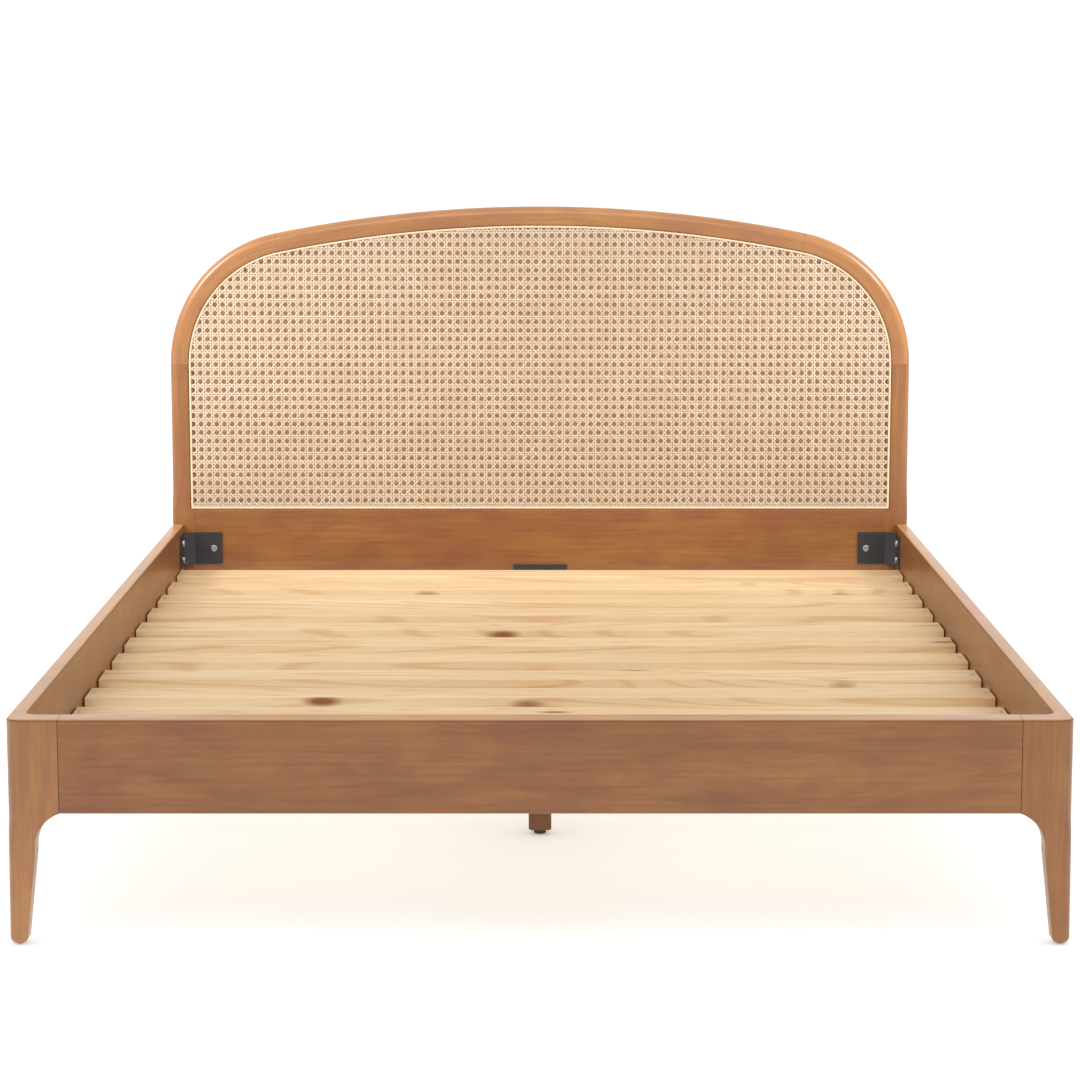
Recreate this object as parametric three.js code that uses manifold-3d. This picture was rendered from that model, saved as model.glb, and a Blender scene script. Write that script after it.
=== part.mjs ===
// A queen-size wooden bed frame with an arched cane headboard, in millimetres.
// X runs across the bed, +Y runs from the foot end to the headboard, +Z is up and the floor is at Z = 0.
import * as THREE from "three";
import { mergeVertices } from "three/addons/utils/BufferGeometryUtils.js";
import Module from "manifold-3d";

const wasm = await Module();
wasm.setup();

// ---------------------------------------------------------------- driving dimensions

const WIDTH = 1620;
const LENGTH = 2130;
const HEADBOARD_HEIGHT = 1048;
const RAIL_TOP = 352;
const RAIL_BOTTOM = 206;
const SIDE_RAIL_THICKNESS = 25;
const FOOT_RAIL_THICKNESS = 42;
const RAIL_EASE = 2.5; // softened long edges of the rails
const SLAT = { count: 12, width: 88, thickness: 18, endGap: 2, top: 262, ease: 2.5 };
const STEEL = 3; // sheet thickness of the brackets and hangers
const FIT = 0.3; // running gap between a piece and the pocket it sits in
const BITE = 2; // how far a cutting tool stands out of the face it cuts

// The headboard's section: insets are measured from its outer edge, depths from its front face.
const HEADBOARD = {
  depth: 42, // thickness of the frame
  springHeight: 705, // top of the straight posts, where the curve starts
  cornerRadius: 291,
  faceWidth: 40, // flat front face, from the outer edge to the rabbet
  memberWidth: 50, // face and the ledge that carries the cane
  edgeRadius: 18, // rounding of the outer edge, front and back
  postEdgeRadius: 5, // rounding of the same edge where the side rail butts against the post
  roundingStart: 20, // how far above the rails the post's edge begins to grow rounder
  roundingEnd: 90, // and how far above them it is fully round
  ledgeFront: 5,
  ledgeBack: 12,
  groove: { from: 41.3, to: 44.7, bottom: 9 },
  railTop: 385, // top of the bottom rail's face
  railBottom: 245,
  railDepth: 30,
  panelThickness: 8,
  caneThickness: 2,
  caneGap: 1.6, // from the groove to the edge of the cane
};

const FOOT_LEG = {
  jointWidth: 80, // across the bed, where the foot rail meets the leg
  jointDepth: 63, // along the bed, where the side rail meets it
  cornerRadius: 24,
  notchRadius: 20,
  // Sizes where the taper would meet the rail and at the floor, the radius of the curve that sweeps out under
  // the rail, and how far its centre lies below the rail.
  width: { top: 48, bottom: 26.5, fillet: 60, drop: 56 },
  depth: { top: 46, bottom: 33, fillet: 18, drop: 18 },
  cornerShare: 0.4, // the corner's rounding takes at most this share of the leg's width
  levelsBelowRail: [130, 64, 44, 32, 22, 14, 8, 3],
};
const POST_FOOT = { width: 35, depth: 35 }; // a headboard post at the floor
const JOINT_EASE = 0.4; // softened edge on either side of a joint line
const LEG_EASE = 3; // softened edge of a free-standing leg
const TOP_EASE = 2;
const DOME_RADIUS = 10; // rounded lower end of each leg
const GLIDE = { radius: 5, height: 2, ease: 1 };

const TENON = { length: 30, thickness: 14, height: 96 };
const LEDGE = { width: 22, height: 32, endGap: 24, ease: 2 };
const BEAM = { width: 64, height: 35, ease: 3 };
const CENTER_LEG = { size: 40, ease: 3, bottom: 9, spacing: 720 };
const LEVELLER = { padRadius: 11, padHeight: 9, lowerEase: 2.5, upperEase: 1, stemRadius: 4, stemTop: 38 };
const POCKET = { radius: 12.5, top: 16.3 }; // recess that takes the leveller's pad when it is screwed up
const INSERT = { radius: 6, bore: 4.5, height: 16, clearance: 4.8, boreTop: 46 };
const HANGER_BOLT = { radius: 4, below: 35, above: 26 };
const BRACKET = { flange: 60, corner: 24, bottom: 264, height: 70 };
const BRACKET_HOLES = { cross: 42, side: 30, spread: 18 }; // distances from the bends, and half of a pair's
const BOLT = { headRadius: 7, headHeight: 4.5, headEase: 1, radius: 4, length: 20, hole: 4.5, socket: 3 };
const HANGER = { wingWidth: 24, depth: 45, wallHeight: 32, plateTop: 262 };

// How many flat facets stand for a curve.
const FACETS = { edge: 5, notch: 4, shoulder: 12, arch: 14, reed: 6, bar: 2, boltHole: 8, foot: 12 };

// ---------------------------------------------------------------- dimensions that follow

const HALF_WIDTH = WIDTH / 2;
const FOOT_FACE_Y = -LENGTH / 2;
const FOOT_INNER_Y = FOOT_FACE_Y + FOOT_RAIL_THICKNESS;
const HEADBOARD_FACE_Y = LENGTH / 2 - HEADBOARD.depth;
const SIDE_INNER_X = HALF_WIDTH - SIDE_RAIL_THICKNESS;
const SLAT_BOTTOM = SLAT.top - SLAT.thickness;
const BEAM_BOTTOM = SLAT_BOTTOM - BEAM.height;
const BOTTOM_RAIL_MIDDLE = (HEADBOARD.railBottom + HEADBOARD.railTop) / 2;
const RAIL_MIDDLE = (RAIL_BOTTOM + RAIL_TOP) / 2;

// Where the bracket bolts go: crossX along a cross rail, sideOffset along a side rail from its end corner.
const BRACKET_BOLTS = {
  crossX: SIDE_INNER_X - BRACKET.corner - BRACKET_HOLES.cross,
  sideOffset: BRACKET.corner + BRACKET_HOLES.side,
  middleZ: BRACKET.bottom + BRACKET.height / 2,
};
const CORNER_CENTER_X = HALF_WIDTH - HEADBOARD.cornerRadius;

// The big arc is tangent to both corner arcs and reaches the headboard's full height.
const RISE = HEADBOARD_HEIGHT - HEADBOARD.springHeight;
const ARCH_RADIUS =
  (RISE ** 2 + CORNER_CENTER_X ** 2 - HEADBOARD.cornerRadius ** 2) /
  (2 * (RISE - HEADBOARD.cornerRadius));
const ARCH_CENTER_Z = HEADBOARD_HEIGHT - ARCH_RADIUS;
const ARCH_ANGLE = Math.atan2(CORNER_CENTER_X, HEADBOARD.springHeight - ARCH_CENTER_Z);

// ---------------------------------------------------------------- materials

const material = (color, roughness, metalness = 0) =>
  new THREE.MeshStandardMaterial({ color, roughness, metalness, flatShading: true });

const MATERIALS = {
  wood: material(0xb17a52, 0.5),
  panelWood: material(0x8f6038, 0.7),
  cane: material(0xe8c79b, 0.65),
  reed: material(0xf0cb9c, 0.55),
  pine: material(0xdcb98a, 0.7),
  steel: material(0x2f3033, 0.45, 0.8),
  zinc: material(0xb9bcc0, 0.35, 0.9),
  nylon: material(0x3a2c27, 0.6),
};

// ---------------------------------------------------------------- solids

// Turns the faces of a closed geometry outwards.
function facingOut(geometry) {
  const { array } = geometry.attributes.position;
  const index = geometry.index.array;
  const corner = (k) => new THREE.Vector3().fromArray(array, 3 * index[k]);
  let volume = 0;
  for (let k = 0; k < index.length; k += 3) {
    volume += corner(k).dot(corner(k + 1).cross(corner(k + 2)));
  }
  if (volume < 0) index.reverse();
  return geometry;
}

// Joins rings of equally many [x, y, z] points into a tube. capOf gives a ring's outline in two dimensions,
// and the tube is closed by a flat face at each end; with no capOf the last ring joins the first.
function loft(rings, capOf) {
  const count = rings[0].length;
  const index = [];
  const spans = capOf ? rings.length - 1 : rings.length;
  for (let r = 0; r < spans; r++) {
    const here = r * count;
    const next = ((r + 1) % rings.length) * count;
    for (let i = 0; i < count; i++) {
      const j = (i + 1) % count;
      index.push(here + i, here + j, next + j, here + i, next + j, next + i);
    }
  }
  const cap = (r, reversed) => {
    const outline = capOf(rings[r]).map(([a, b]) => new THREE.Vector2(a, b));
    const clockwise = THREE.ShapeUtils.isClockWise(outline);
    for (const face of THREE.ShapeUtils.triangulateShape(outline, [])) {
      const ringOrder = THREE.ShapeUtils.isClockWise(face.map((i) => outline[i])) === clockwise;
      if (ringOrder === reversed) face.reverse();
      index.push(...face.map((i) => r * count + i));
    }
  };
  if (capOf) {
    cap(0, true);
    cap(rings.length - 1, false);
  }
  const geometry = new THREE.BufferGeometry();
  geometry.setAttribute("position", new THREE.Float32BufferAttribute(rings.flat(2), 3));
  geometry.setIndex(new THREE.Uint32BufferAttribute(index, 1));
  return facingOut(geometry);
}

// The outline that a level ring of points has when seen from above.
const flatOutline = (ring) => ring.map(([x, y]) => [x, y]);

function solidOf(geometry) {
  const plain = geometry.clone().deleteAttribute("normal").deleteAttribute("uv");
  const merged = mergeVertices(plain, 1e-3);
  return new wasm.Manifold(
    new wasm.Mesh({
      numProp: 3,
      vertProperties: merged.attributes.position.array,
      triVerts: new Uint32Array(merged.index.array),
    }),
  );
}

function geometryOf(solid) {
  const { vertProperties, triVerts } = solid.getMesh();
  const geometry = new THREE.BufferGeometry();
  geometry.setAttribute("position", new THREE.BufferAttribute(vertProperties, 3));
  geometry.setIndex(new THREE.BufferAttribute(triVerts, 1));
  return geometry;
}

const joined = (first, ...others) =>
  geometryOf(others.reduce((solid, other) => solid.add(solidOf(other)), solidOf(first)));

const carved = (blank, ...cutters) =>
  geometryOf(cutters.reduce((solid, cutter) => solid.subtract(solidOf(cutter)), solidOf(blank)));

// ---------------------------------------------------------------- outlines

function arcPoints(centerA, centerB, radius, fromDegrees, toDegrees, steps) {
  return Array.from({ length: steps + 1 }, (_, i) => {
    const angle = THREE.MathUtils.degToRad(THREE.MathUtils.lerp(fromDegrees, toDegrees, i / steps));
    return [centerA + radius * Math.cos(angle), centerB + radius * Math.sin(angle)];
  });
}

function roundedRectangle([a0, a1], [b0, b1], radius, steps) {
  return [
    ...arcPoints(a0 + radius, b0 + radius, radius, 180, 270, steps),
    ...arcPoints(a1 - radius, b0 + radius, radius, 270, 360, steps),
    ...arcPoints(a1 - radius, b1 - radius, radius, 0, 90, steps),
    ...arcPoints(a0 + radius, b1 - radius, radius, 90, 180, steps),
  ];
}

// A straight bar along X or Y with rounded long edges, given by its extents along X, Y and Z.
function bar(along, x, y, z, radius, steps = FACETS.bar) {
  const [length, a, b] = along === "x" ? [x, y, z] : [y, x, z];
  const place = along === "x" ? (t, p, q) => [t, p, q] : (t, p, q) => [p, t, q];
  const outline = roundedRectangle(a, b, radius, steps);
  return loft(
    length.map((t) => outline.map(([p, q]) => place(t, p, q))),
    () => outline,
  );
}

function box([x0, x1], [y0, y1], [z0, z1]) {
  const block = new THREE.BoxGeometry(x1 - x0, y1 - y0, z1 - z0);
  return block.translate((x0 + x1) / 2, (y0 + y1) / 2, (z0 + z1) / 2);
}

// A turned solid: [radius, height] points that start and end on the axis, standing along +Z.
function turned(points, sides) {
  const profile = points.map(([radius, height]) => new THREE.Vector2(radius, height));
  return new THREE.LatheGeometry(profile, sides).rotateX(Math.PI / 2);
}

const pin = (radius, from, to, sides) =>
  turned([[0, from], [radius, from], [radius, to], [0, to]], sides);

// ---------------------------------------------------------------- the headboard's outline

// A station gives the point of the headboard's outline at any inset from its outer edge.
const arcStation = (centerX, centerZ, radius, angle) => (inset) => [
  centerX + (radius - inset) * Math.sin(angle),
  centerZ + (radius - inset) * Math.cos(angle),
];

function arcStations(centerX, centerZ, radius, from, to, steps) {
  return Array.from({ length: steps + 1 }, (_, i) =>
    arcStation(centerX, centerZ, radius, THREE.MathUtils.lerp(from, to, i / steps)),
  );
}

const shoulderStations = arcStations(
  CORNER_CENTER_X,
  HEADBOARD.springHeight,
  HEADBOARD.cornerRadius,
  Math.PI / 2,
  ARCH_ANGLE,
  FACETS.shoulder,
);
const archStations = (angle) =>
  arcStations(0, ARCH_CENTER_Z, ARCH_RADIUS, angle, -angle, FACETS.arch);
const mirroredStation = (station) => (inset) => {
  const [x, z] = station(inset);
  return [-x, z];
};
const bottomCorner = (inset) => [HALF_WIDTH - inset, HEADBOARD.railTop - HEADBOARD.faceWidth + inset];

// The loop round the headboard's opening, from the lower right corner over the arch to the lower left.
const loopStations = [
  bottomCorner,
  ...shoulderStations,
  ...archStations(ARCH_ANGLE).slice(1, -1),
  ...shoulderStations.map(mirroredStation).reverse(),
  mirroredStation(bottomCorner),
];

const sweep = (section, stations) =>
  stations.map((station) =>
    section.map(([inset, depth]) => {
      const [x, z] = station(inset);
      return [x, depth, z];
    }),
  );

// ---------------------------------------------------------------- headboard pieces

function frameSection() {
  const { depth, faceWidth, memberWidth, edgeRadius, ledgeFront, ledgeBack, groove } = HEADBOARD;
  return [
    ...arcPoints(edgeRadius, edgeRadius, edgeRadius, 180, 270, FACETS.edge),
    [faceWidth, 0],
    [faceWidth, ledgeFront],
    [groove.from, ledgeFront],
    [groove.from, groove.bottom],
    [groove.to, groove.bottom],
    [groove.to, ledgeFront],
    [memberWidth, ledgeFront],
    [memberWidth, ledgeBack],
    [faceWidth, ledgeBack],
    [faceWidth, depth],
    ...arcPoints(edgeRadius, depth - edgeRadius, edgeRadius, 90, 180, FACETS.edge),
  ];
}

const curvedMember = (stations) => loft(sweep(frameSection(), stations), frameSection);

// Heights and insets of the rounded lower end that every leg has, from the floor face up.
const domeLevels = () =>
  [0, 30, 60, 90].map((degrees) => {
    const angle = THREE.MathUtils.degToRad(degrees);
    return [GLIDE.height + DOME_RADIUS * (1 - Math.cos(angle)), DOME_RADIUS * (1 - Math.sin(angle))];
  });

function postRing(z, inset, edgeRadius, ease) {
  const drop = Math.max(0, RAIL_BOTTOM - z) / RAIL_BOTTOM;
  const inner = THREE.MathUtils.lerp(HEADBOARD.memberWidth, POST_FOOT.width, drop) - inset;
  const back = THREE.MathUtils.lerp(HEADBOARD.depth, POST_FOOT.depth, drop) - inset;
  const outline = [
    ...arcPoints(inset + edgeRadius, inset + edgeRadius, edgeRadius, 180, 270, FACETS.edge),
    [inner - ease, inset],
    [inner, inset + ease],
    [inner, back - ease],
    [inner - ease, back],
    ...arcPoints(inset + edgeRadius, back - edgeRadius, edgeRadius, 90, 180, FACETS.edge),
  ];
  return outline.map(([u, v]) => [HALF_WIDTH - u, v, z]);
}

// The post's outer edge is round above the mattress and squarer where the side rail butts against it.
function headboardPost() {
  const { faceWidth, memberWidth, depth, ledgeFront, ledgeBack, groove } = HEADBOARD;
  const { edgeRadius, postEdgeRadius, roundingStart, roundingEnd, railTop, springHeight } = HEADBOARD;
  const blank = loft(
    [
      ...domeLevels().map(([z, inset]) => postRing(z, inset, postEdgeRadius, LEG_EASE)),
      postRing(RAIL_BOTTOM - 2 * LEG_EASE, 0, postEdgeRadius, LEG_EASE),
      postRing(RAIL_BOTTOM, 0, postEdgeRadius, JOINT_EASE),
      postRing(RAIL_TOP + roundingStart, 0, postEdgeRadius, JOINT_EASE),
      postRing(RAIL_TOP + roundingEnd, 0, edgeRadius, JOINT_EASE),
      postRing(springHeight, 0, edgeRadius, JOINT_EASE),
    ],
    flatOutline,
  );
  const insetRange = (from, to) => [HALF_WIDTH - to, HALF_WIDTH - from];
  const upTo = springHeight + BITE;
  const grooveStart = railTop - faceWidth + groove.from;
  const grooveEnd = railTop - faceWidth + groove.to;
  return carved(
    blank,
    box(insetRange(faceWidth, memberWidth + BITE), [-BITE, ledgeFront], [railTop, upTo]),
    box(insetRange(faceWidth, memberWidth + BITE), [ledgeBack, depth + BITE], [railTop, upTo]),
    box(insetRange(groove.from, groove.to), [0, groove.bottom], [grooveStart, upTo]),
    box(insetRange(groove.from, memberWidth + BITE), [0, groove.bottom], [grooveStart, grooveEnd]),
    tenonBlock(HALF_WIDTH - memberWidth, HEADBOARD.railDepth, BOTTOM_RAIL_MIDDLE, FIT),
  );
}

// The tongue of a cross rail, or with a gap round it the pocket that the tongue goes into. It stands out
// past the rail's end at endX.
function tenonBlock(endX, railDepth, middleZ, gap) {
  return box(
    [endX - (gap ? BITE : TENON.length), endX + TENON.length + gap],
    [railDepth / 2 - TENON.thickness / 2 - gap, railDepth / 2 + TENON.thickness / 2 + gap],
    [middleZ - TENON.height / 2 - gap, middleZ + TENON.height / 2 + gap],
  );
}

// A cross rail's blank gets a tongue at each end.
function withTenons(blank, endX, railDepth, middleZ) {
  const right = tenonBlock(endX, railDepth, middleZ, 0);
  const left = right.clone().rotateZ(Math.PI).translate(0, railDepth, 0);
  return joined(blank, right, left);
}

function headboardBottomRail() {
  const { faceWidth, memberWidth, ledgeFront, ledgeBack, groove } = HEADBOARD;
  const { railTop, railBottom, railDepth } = HEADBOARD;
  const endX = HALF_WIDTH - memberWidth;
  const heightAt = (inset) => railTop - faceWidth + inset;
  const section = [
    [0, railBottom + JOINT_EASE],
    [JOINT_EASE, railBottom],
    [railDepth - JOINT_EASE, railBottom],
    [railDepth, railBottom + JOINT_EASE],
    [railDepth, railTop],
    [ledgeBack, railTop],
    [ledgeBack, heightAt(memberWidth)],
    [ledgeFront, heightAt(memberWidth)],
    [ledgeFront, heightAt(groove.to)],
    [groove.bottom, heightAt(groove.to)],
    [groove.bottom, heightAt(groove.from)],
    [ledgeFront, heightAt(groove.from)],
    [ledgeFront, railTop],
    [0, railTop],
  ];
  const blank = loft(
    [-endX, endX].map((x) => section.map(([y, z]) => [x, y, z])),
    () => section,
  );
  return carved(withTenons(blank, endX, railDepth, BOTTOM_RAIL_MIDDLE), ...crossRailHoles(0, 1));
}

// A flat sheet that fills the headboard's opening out to the given inset.
function openingSheet(inset, from, to) {
  const outline = loopStations.map((station) => station(inset));
  return loft(
    [from, to].map((depth) => outline.map(([x, z]) => [x, depth, z])),
    () => outline,
  );
}

// The reed that locks the cane into its groove: a rounded top on a narrow tongue, all round the opening.
function caneSpline() {
  const { ledgeFront, groove } = HEADBOARD;
  const middle = (groove.from + groove.to) / 2;
  const halfTop = middle - HEADBOARD.faceWidth - FIT;
  const tongue = (groove.to - groove.from) / 2 - FIT;
  const section = [
    ...arcPoints(middle, ledgeFront, halfTop, 180, 360, FACETS.reed),
    [middle + tongue, ledgeFront],
    [middle + tongue, groove.bottom - FIT],
    [middle - tongue, groove.bottom - FIT],
    [middle - tongue, ledgeFront],
  ];
  return loft(sweep(section, loopStations));
}

// ---------------------------------------------------------------- rails and foot legs

// Holes for the bracket bolts in a rail that runs across the bed, cut from its inner face. inward is +1
// where the rail lies behind that face and -1 where it lies in front of it.
function crossRailHoles(faceY, inward) {
  return [-1, 1].map((side) =>
    pin(BOLT.hole, -BITE, BOLT.length, FACETS.boltHole)
      .rotateX((-inward * Math.PI) / 2)
      .translate(side * BRACKET_BOLTS.crossX, faceY, BRACKET_BOLTS.middleZ),
  );
}

function footRail() {
  const endX = HALF_WIDTH - FOOT_LEG.jointWidth;
  const blank = bar("x", [-endX, endX], [0, FOOT_RAIL_THICKNESS], [RAIL_BOTTOM, RAIL_TOP], RAIL_EASE);
  return carved(
    withTenons(blank, endX, FOOT_RAIL_THICKNESS, RAIL_MIDDLE),
    ...crossRailHoles(FOOT_RAIL_THICKNESS, -1),
  );
}

// The two bolt holes at each end of a side rail, cut from its inner face.
function sideRailHoles() {
  const { sideOffset, middleZ } = BRACKET_BOLTS;
  const places = [FOOT_INNER_Y + sideOffset, HEADBOARD_FACE_Y - sideOffset].flatMap((y) => [
    [y, middleZ - BRACKET_HOLES.spread],
    [y, middleZ + BRACKET_HOLES.spread],
  ]);
  return places.map(([y, z]) =>
    pin(BOLT.hole, -BITE, BOLT.length, FACETS.boltHole)
      .rotateY(Math.PI / 2)
      .translate(SIDE_INNER_X, y, z),
  );
}

function sideRail() {
  const lengthwise = [FOOT_FACE_Y + FOOT_LEG.jointDepth, HEADBOARD_FACE_Y];
  const blank = bar("y", [SIDE_INNER_X, HALF_WIDTH], lengthwise, [RAIL_BOTTOM, RAIL_TOP], RAIL_EASE);
  return carved(blank, ...sideRailHoles());
}

// A leg's size at height z: a straight taper that sweeps out below the rail in a round fillet.
function taperedSize(z, { top, bottom, fillet, drop }, atJoint) {
  const slope = (top - bottom) / RAIL_BOTTOM;
  const tilt = Math.atan(slope);
  const centerZ = RAIL_BOTTOM - drop;
  const tangentZ = centerZ - fillet * Math.sin(tilt);
  if (z <= tangentZ) return bottom + slope * z;
  const center = bottom + slope * tangentZ + fillet * Math.cos(tilt);
  const reach = Math.sqrt(Math.max(0, fillet ** 2 - (z - centerZ) ** 2));
  return z >= RAIL_BOTTOM ? atJoint : Math.min(atJoint, center - reach);
}

// One level of a foot leg, from its outer corner inwards and backwards. At the rails the section is an L
// with a round inner corner; below them it is a rounded rectangle.
function footLegRing(z, inset, isL) {
  const { cornerRadius, notchRadius, jointWidth, jointDepth } = FOOT_LEG;
  const shrink = isL ? 0 : inset;
  const inner = taperedSize(z, FOOT_LEG.width, jointWidth) - shrink;
  const back = taperedSize(z, FOOT_LEG.depth, jointDepth) - shrink;
  const ease = isL ? JOINT_EASE : LEG_EASE;
  const armDepth = FOOT_RAIL_THICKNESS - inset;
  const armWidth = SIDE_RAIL_THICKNESS - inset;
  const notch = notchRadius + inset;
  const radius = Math.min(cornerRadius, (inner - inset) * FOOT_LEG.cornerShare);
  const corner = isL
    ? [
        [inner, armDepth],
        ...arcPoints(armWidth + notch, armDepth + notch, notch, 270, 180, FACETS.notch),
        [armWidth, back],
      ]
    : [
        [inner, Math.min(armDepth, (inset + back) / 2)],
        ...arcPoints(inner - ease, back - ease, ease, 0, 90, FACETS.notch),
        [Math.min(armWidth, (inset + inner) / 2), back],
      ];
  const outline = [
    ...arcPoints(inset + radius, inset + radius, radius, 180, 270, FACETS.edge),
    [inner - ease, inset],
    [inner, inset + ease],
    ...corner,
    [inset + ease, back],
    [inset, back - ease],
  ];
  return outline.map(([u, v]) => [HALF_WIDTH - u, v, z]);
}

function footLeg() {
  const blank = loft(
    [
      ...domeLevels().map(([z, inset]) => footLegRing(z, inset, false)),
      ...FOOT_LEG.levelsBelowRail.map((below) => footLegRing(RAIL_BOTTOM - below, 0, false)),
      footLegRing(RAIL_BOTTOM - JOINT_EASE, 0, false),
      footLegRing(RAIL_BOTTOM, 0, true),
      footLegRing(RAIL_TOP - TOP_EASE, 0, true),
      footLegRing(RAIL_TOP, TOP_EASE, true),
    ],
    flatOutline,
  );
  const endX = HALF_WIDTH - FOOT_LEG.jointWidth;
  return carved(blank, tenonBlock(endX, FOOT_RAIL_THICKNESS, RAIL_MIDDLE, FIT));
}

// ---------------------------------------------------------------- slats, beam and its legs

const slatLedge = () =>
  bar(
    "y",
    [SIDE_INNER_X - LEDGE.width, SIDE_INNER_X],
    [FOOT_INNER_Y + LEDGE.endGap, HEADBOARD_FACE_Y - LEDGE.endGap],
    [SLAT_BOTTOM - LEDGE.height, SLAT_BOTTOM],
    LEDGE.ease,
    1,
  );

const slat = () =>
  bar(
    "x",
    [SLAT.endGap - SIDE_INNER_X, SIDE_INNER_X - SLAT.endGap],
    [-SLAT.width / 2, SLAT.width / 2],
    [SLAT_BOTTOM, SLAT.top],
    SLAT.ease,
  );

const centerBeam = () =>
  bar(
    "y",
    [-BEAM.width / 2, BEAM.width / 2],
    [FOOT_INNER_Y + STEEL + FIT, HEADBOARD_FACE_Y - STEEL - FIT],
    [BEAM_BOTTOM, SLAT_BOTTOM],
    BEAM.ease,
  );

// The U-shaped steel saddle that carries one end of the beam, standing in front of the face at Y = 0.
function beamHanger() {
  const inside = BEAM.width / 2 + FIT;
  const outside = inside + STEEL;
  const bottom = BEAM_BOTTOM - STEEL;
  const saddle = box([-outside, outside], [0, HANGER.depth], [bottom, bottom + HANGER.wallHeight]);
  const room = box([-inside, inside], [STEEL, HANGER.depth + BITE], [bottom + STEEL, SLAT.top]);
  const wing = outside + HANGER.wingWidth;
  const plate = box([-wing, wing], [0, STEEL], [bottom, HANGER.plateTop]);
  return carved(joined(saddle, plate), room);
}

// Bored from below for the leveller's pad, its threaded insert and the end of its stem, and from above for
// the bolt that holds the leg to the beam.
function centerLeg() {
  const { size, ease, bottom } = CENTER_LEG;
  const half = size / 2;
  const ring = (z, inset) => {
    const across = [inset - half, half - inset];
    return roundedRectangle(across, across, ease, FACETS.bar).map(([x, y]) => [x, y, z]);
  };
  const blank = loft(
    [ring(bottom, ease), ring(bottom + ease / 3, ease / 3), ring(bottom + ease, 0), ring(BEAM_BOTTOM, 0)],
    flatOutline,
  );
  const insertTop = POCKET.top + INSERT.height + FIT;
  const seat = INSERT.radius + FIT;
  const lowerBore = turned(
    [
      [0, bottom - BITE],
      [POCKET.radius, bottom - BITE],
      [POCKET.radius, POCKET.top],
      [seat, POCKET.top],
      [seat, insertTop],
      [INSERT.clearance, insertTop],
      [INSERT.clearance, INSERT.boreTop],
      [0, INSERT.boreTop],
    ],
    FACETS.foot,
  );
  return carved(blank, lowerBore, hangerBolt(2 * FIT, FIT));
}

// The bolt between a leg and the beam above it, made wider and longer to cut the bore that it sits in.
const hangerBolt = (wider = 0, longer = 0) =>
  pin(
    HANGER_BOLT.radius + wider,
    BEAM_BOTTOM - HANGER_BOLT.below - longer,
    BEAM_BOTTOM + HANGER_BOLT.above + longer,
    FACETS.boltHole,
  );

const threadedInsert = () =>
  turned(
    [
      [INSERT.bore, POCKET.top],
      [INSERT.radius, POCKET.top],
      [INSERT.radius, POCKET.top + INSERT.height],
      [INSERT.bore, POCKET.top + INSERT.height],
      [INSERT.bore, POCKET.top],
    ],
    FACETS.foot,
  );

function leveller() {
  const { padRadius, padHeight, lowerEase, upperEase, stemRadius, stemTop } = LEVELLER;
  return turned(
    [
      [0, 0],
      [padRadius - lowerEase, 0],
      [padRadius, lowerEase],
      [padRadius, padHeight - upperEase],
      [padRadius - upperEase, padHeight],
      [stemRadius, padHeight],
      [stemRadius, stemTop],
      [0, stemTop],
    ],
    FACETS.foot,
  );
}

function glide() {
  const { radius, height, ease } = GLIDE;
  return turned([[0, 0], [radius - ease, 0], [radius, ease], [radius, height], [0, height]], FACETS.foot);
}

// ---------------------------------------------------------------- corner brackets and bolts

// A bent plate in the corner at the origin, between a side rail along the Y axis and a cross rail along the
// X axis. It lies on the -X side of one and on the +Y side of the other, and cuts the corner off.
function cornerBracket() {
  const { flange, corner, bottom, height } = BRACKET;
  const bend = STEEL * Math.tan(Math.PI / 8);
  const far = corner + flange;
  const section = [
    [0, far],
    [0, corner],
    [-corner, 0],
    [-far, 0],
    [-far, STEEL],
    [-corner - bend, STEEL],
    [-STEEL, corner + bend],
    [-STEEL, far],
  ];
  const blank = loft(
    [bottom, bottom + height].map((z) => section.map(([x, y]) => [x, y, z])),
    flatOutline,
  );
  const hole = () => pin(BOLT.hole, -BITE, STEEL + BITE, FACETS.boltHole);
  const { crossX, sideOffset, middleZ } = BRACKET_BOLTS;
  const sideHole = (z) => hole().rotateY(-Math.PI / 2).translate(0, sideOffset, z);
  return carved(
    blank,
    hole().rotateX(-Math.PI / 2).translate(crossX - SIDE_INNER_X, 0, middleZ),
    sideHole(middleZ - BRACKET_HOLES.spread),
    sideHole(middleZ + BRACKET_HOLES.spread),
  );
}

// A bolt with a socket in its head; its seat is at Z = 0 and its shank points down.
function bolt() {
  const { headRadius, headHeight, headEase, radius, length, socket } = BOLT;
  return turned(
    [
      [0, STEEL - length],
      [radius, STEEL - length],
      [radius, 0],
      [headRadius, 0],
      [headRadius, headHeight - headEase],
      [headRadius - headEase, headHeight],
      [socket, headHeight],
      [socket, headHeight / 2],
      [0, headHeight / 2],
    ],
    FACETS.boltHole,
  );
}

// ---------------------------------------------------------------- assembly

const bed = new THREE.Group();

function add(parent, name, geometry, finish) {
  const mesh = new THREE.Mesh(geometry, finish);
  mesh.name = name;
  parent.add(mesh);
  return mesh;
}

// Adds the right-hand piece and its mirror image. The name's * stands for the side.
function addPair(parent, name, geometry, finish) {
  add(parent, name.replace("*", "right"), geometry, finish);
  add(parent, name.replace("*", "left"), geometry, finish).scale.x = -1;
}

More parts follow.
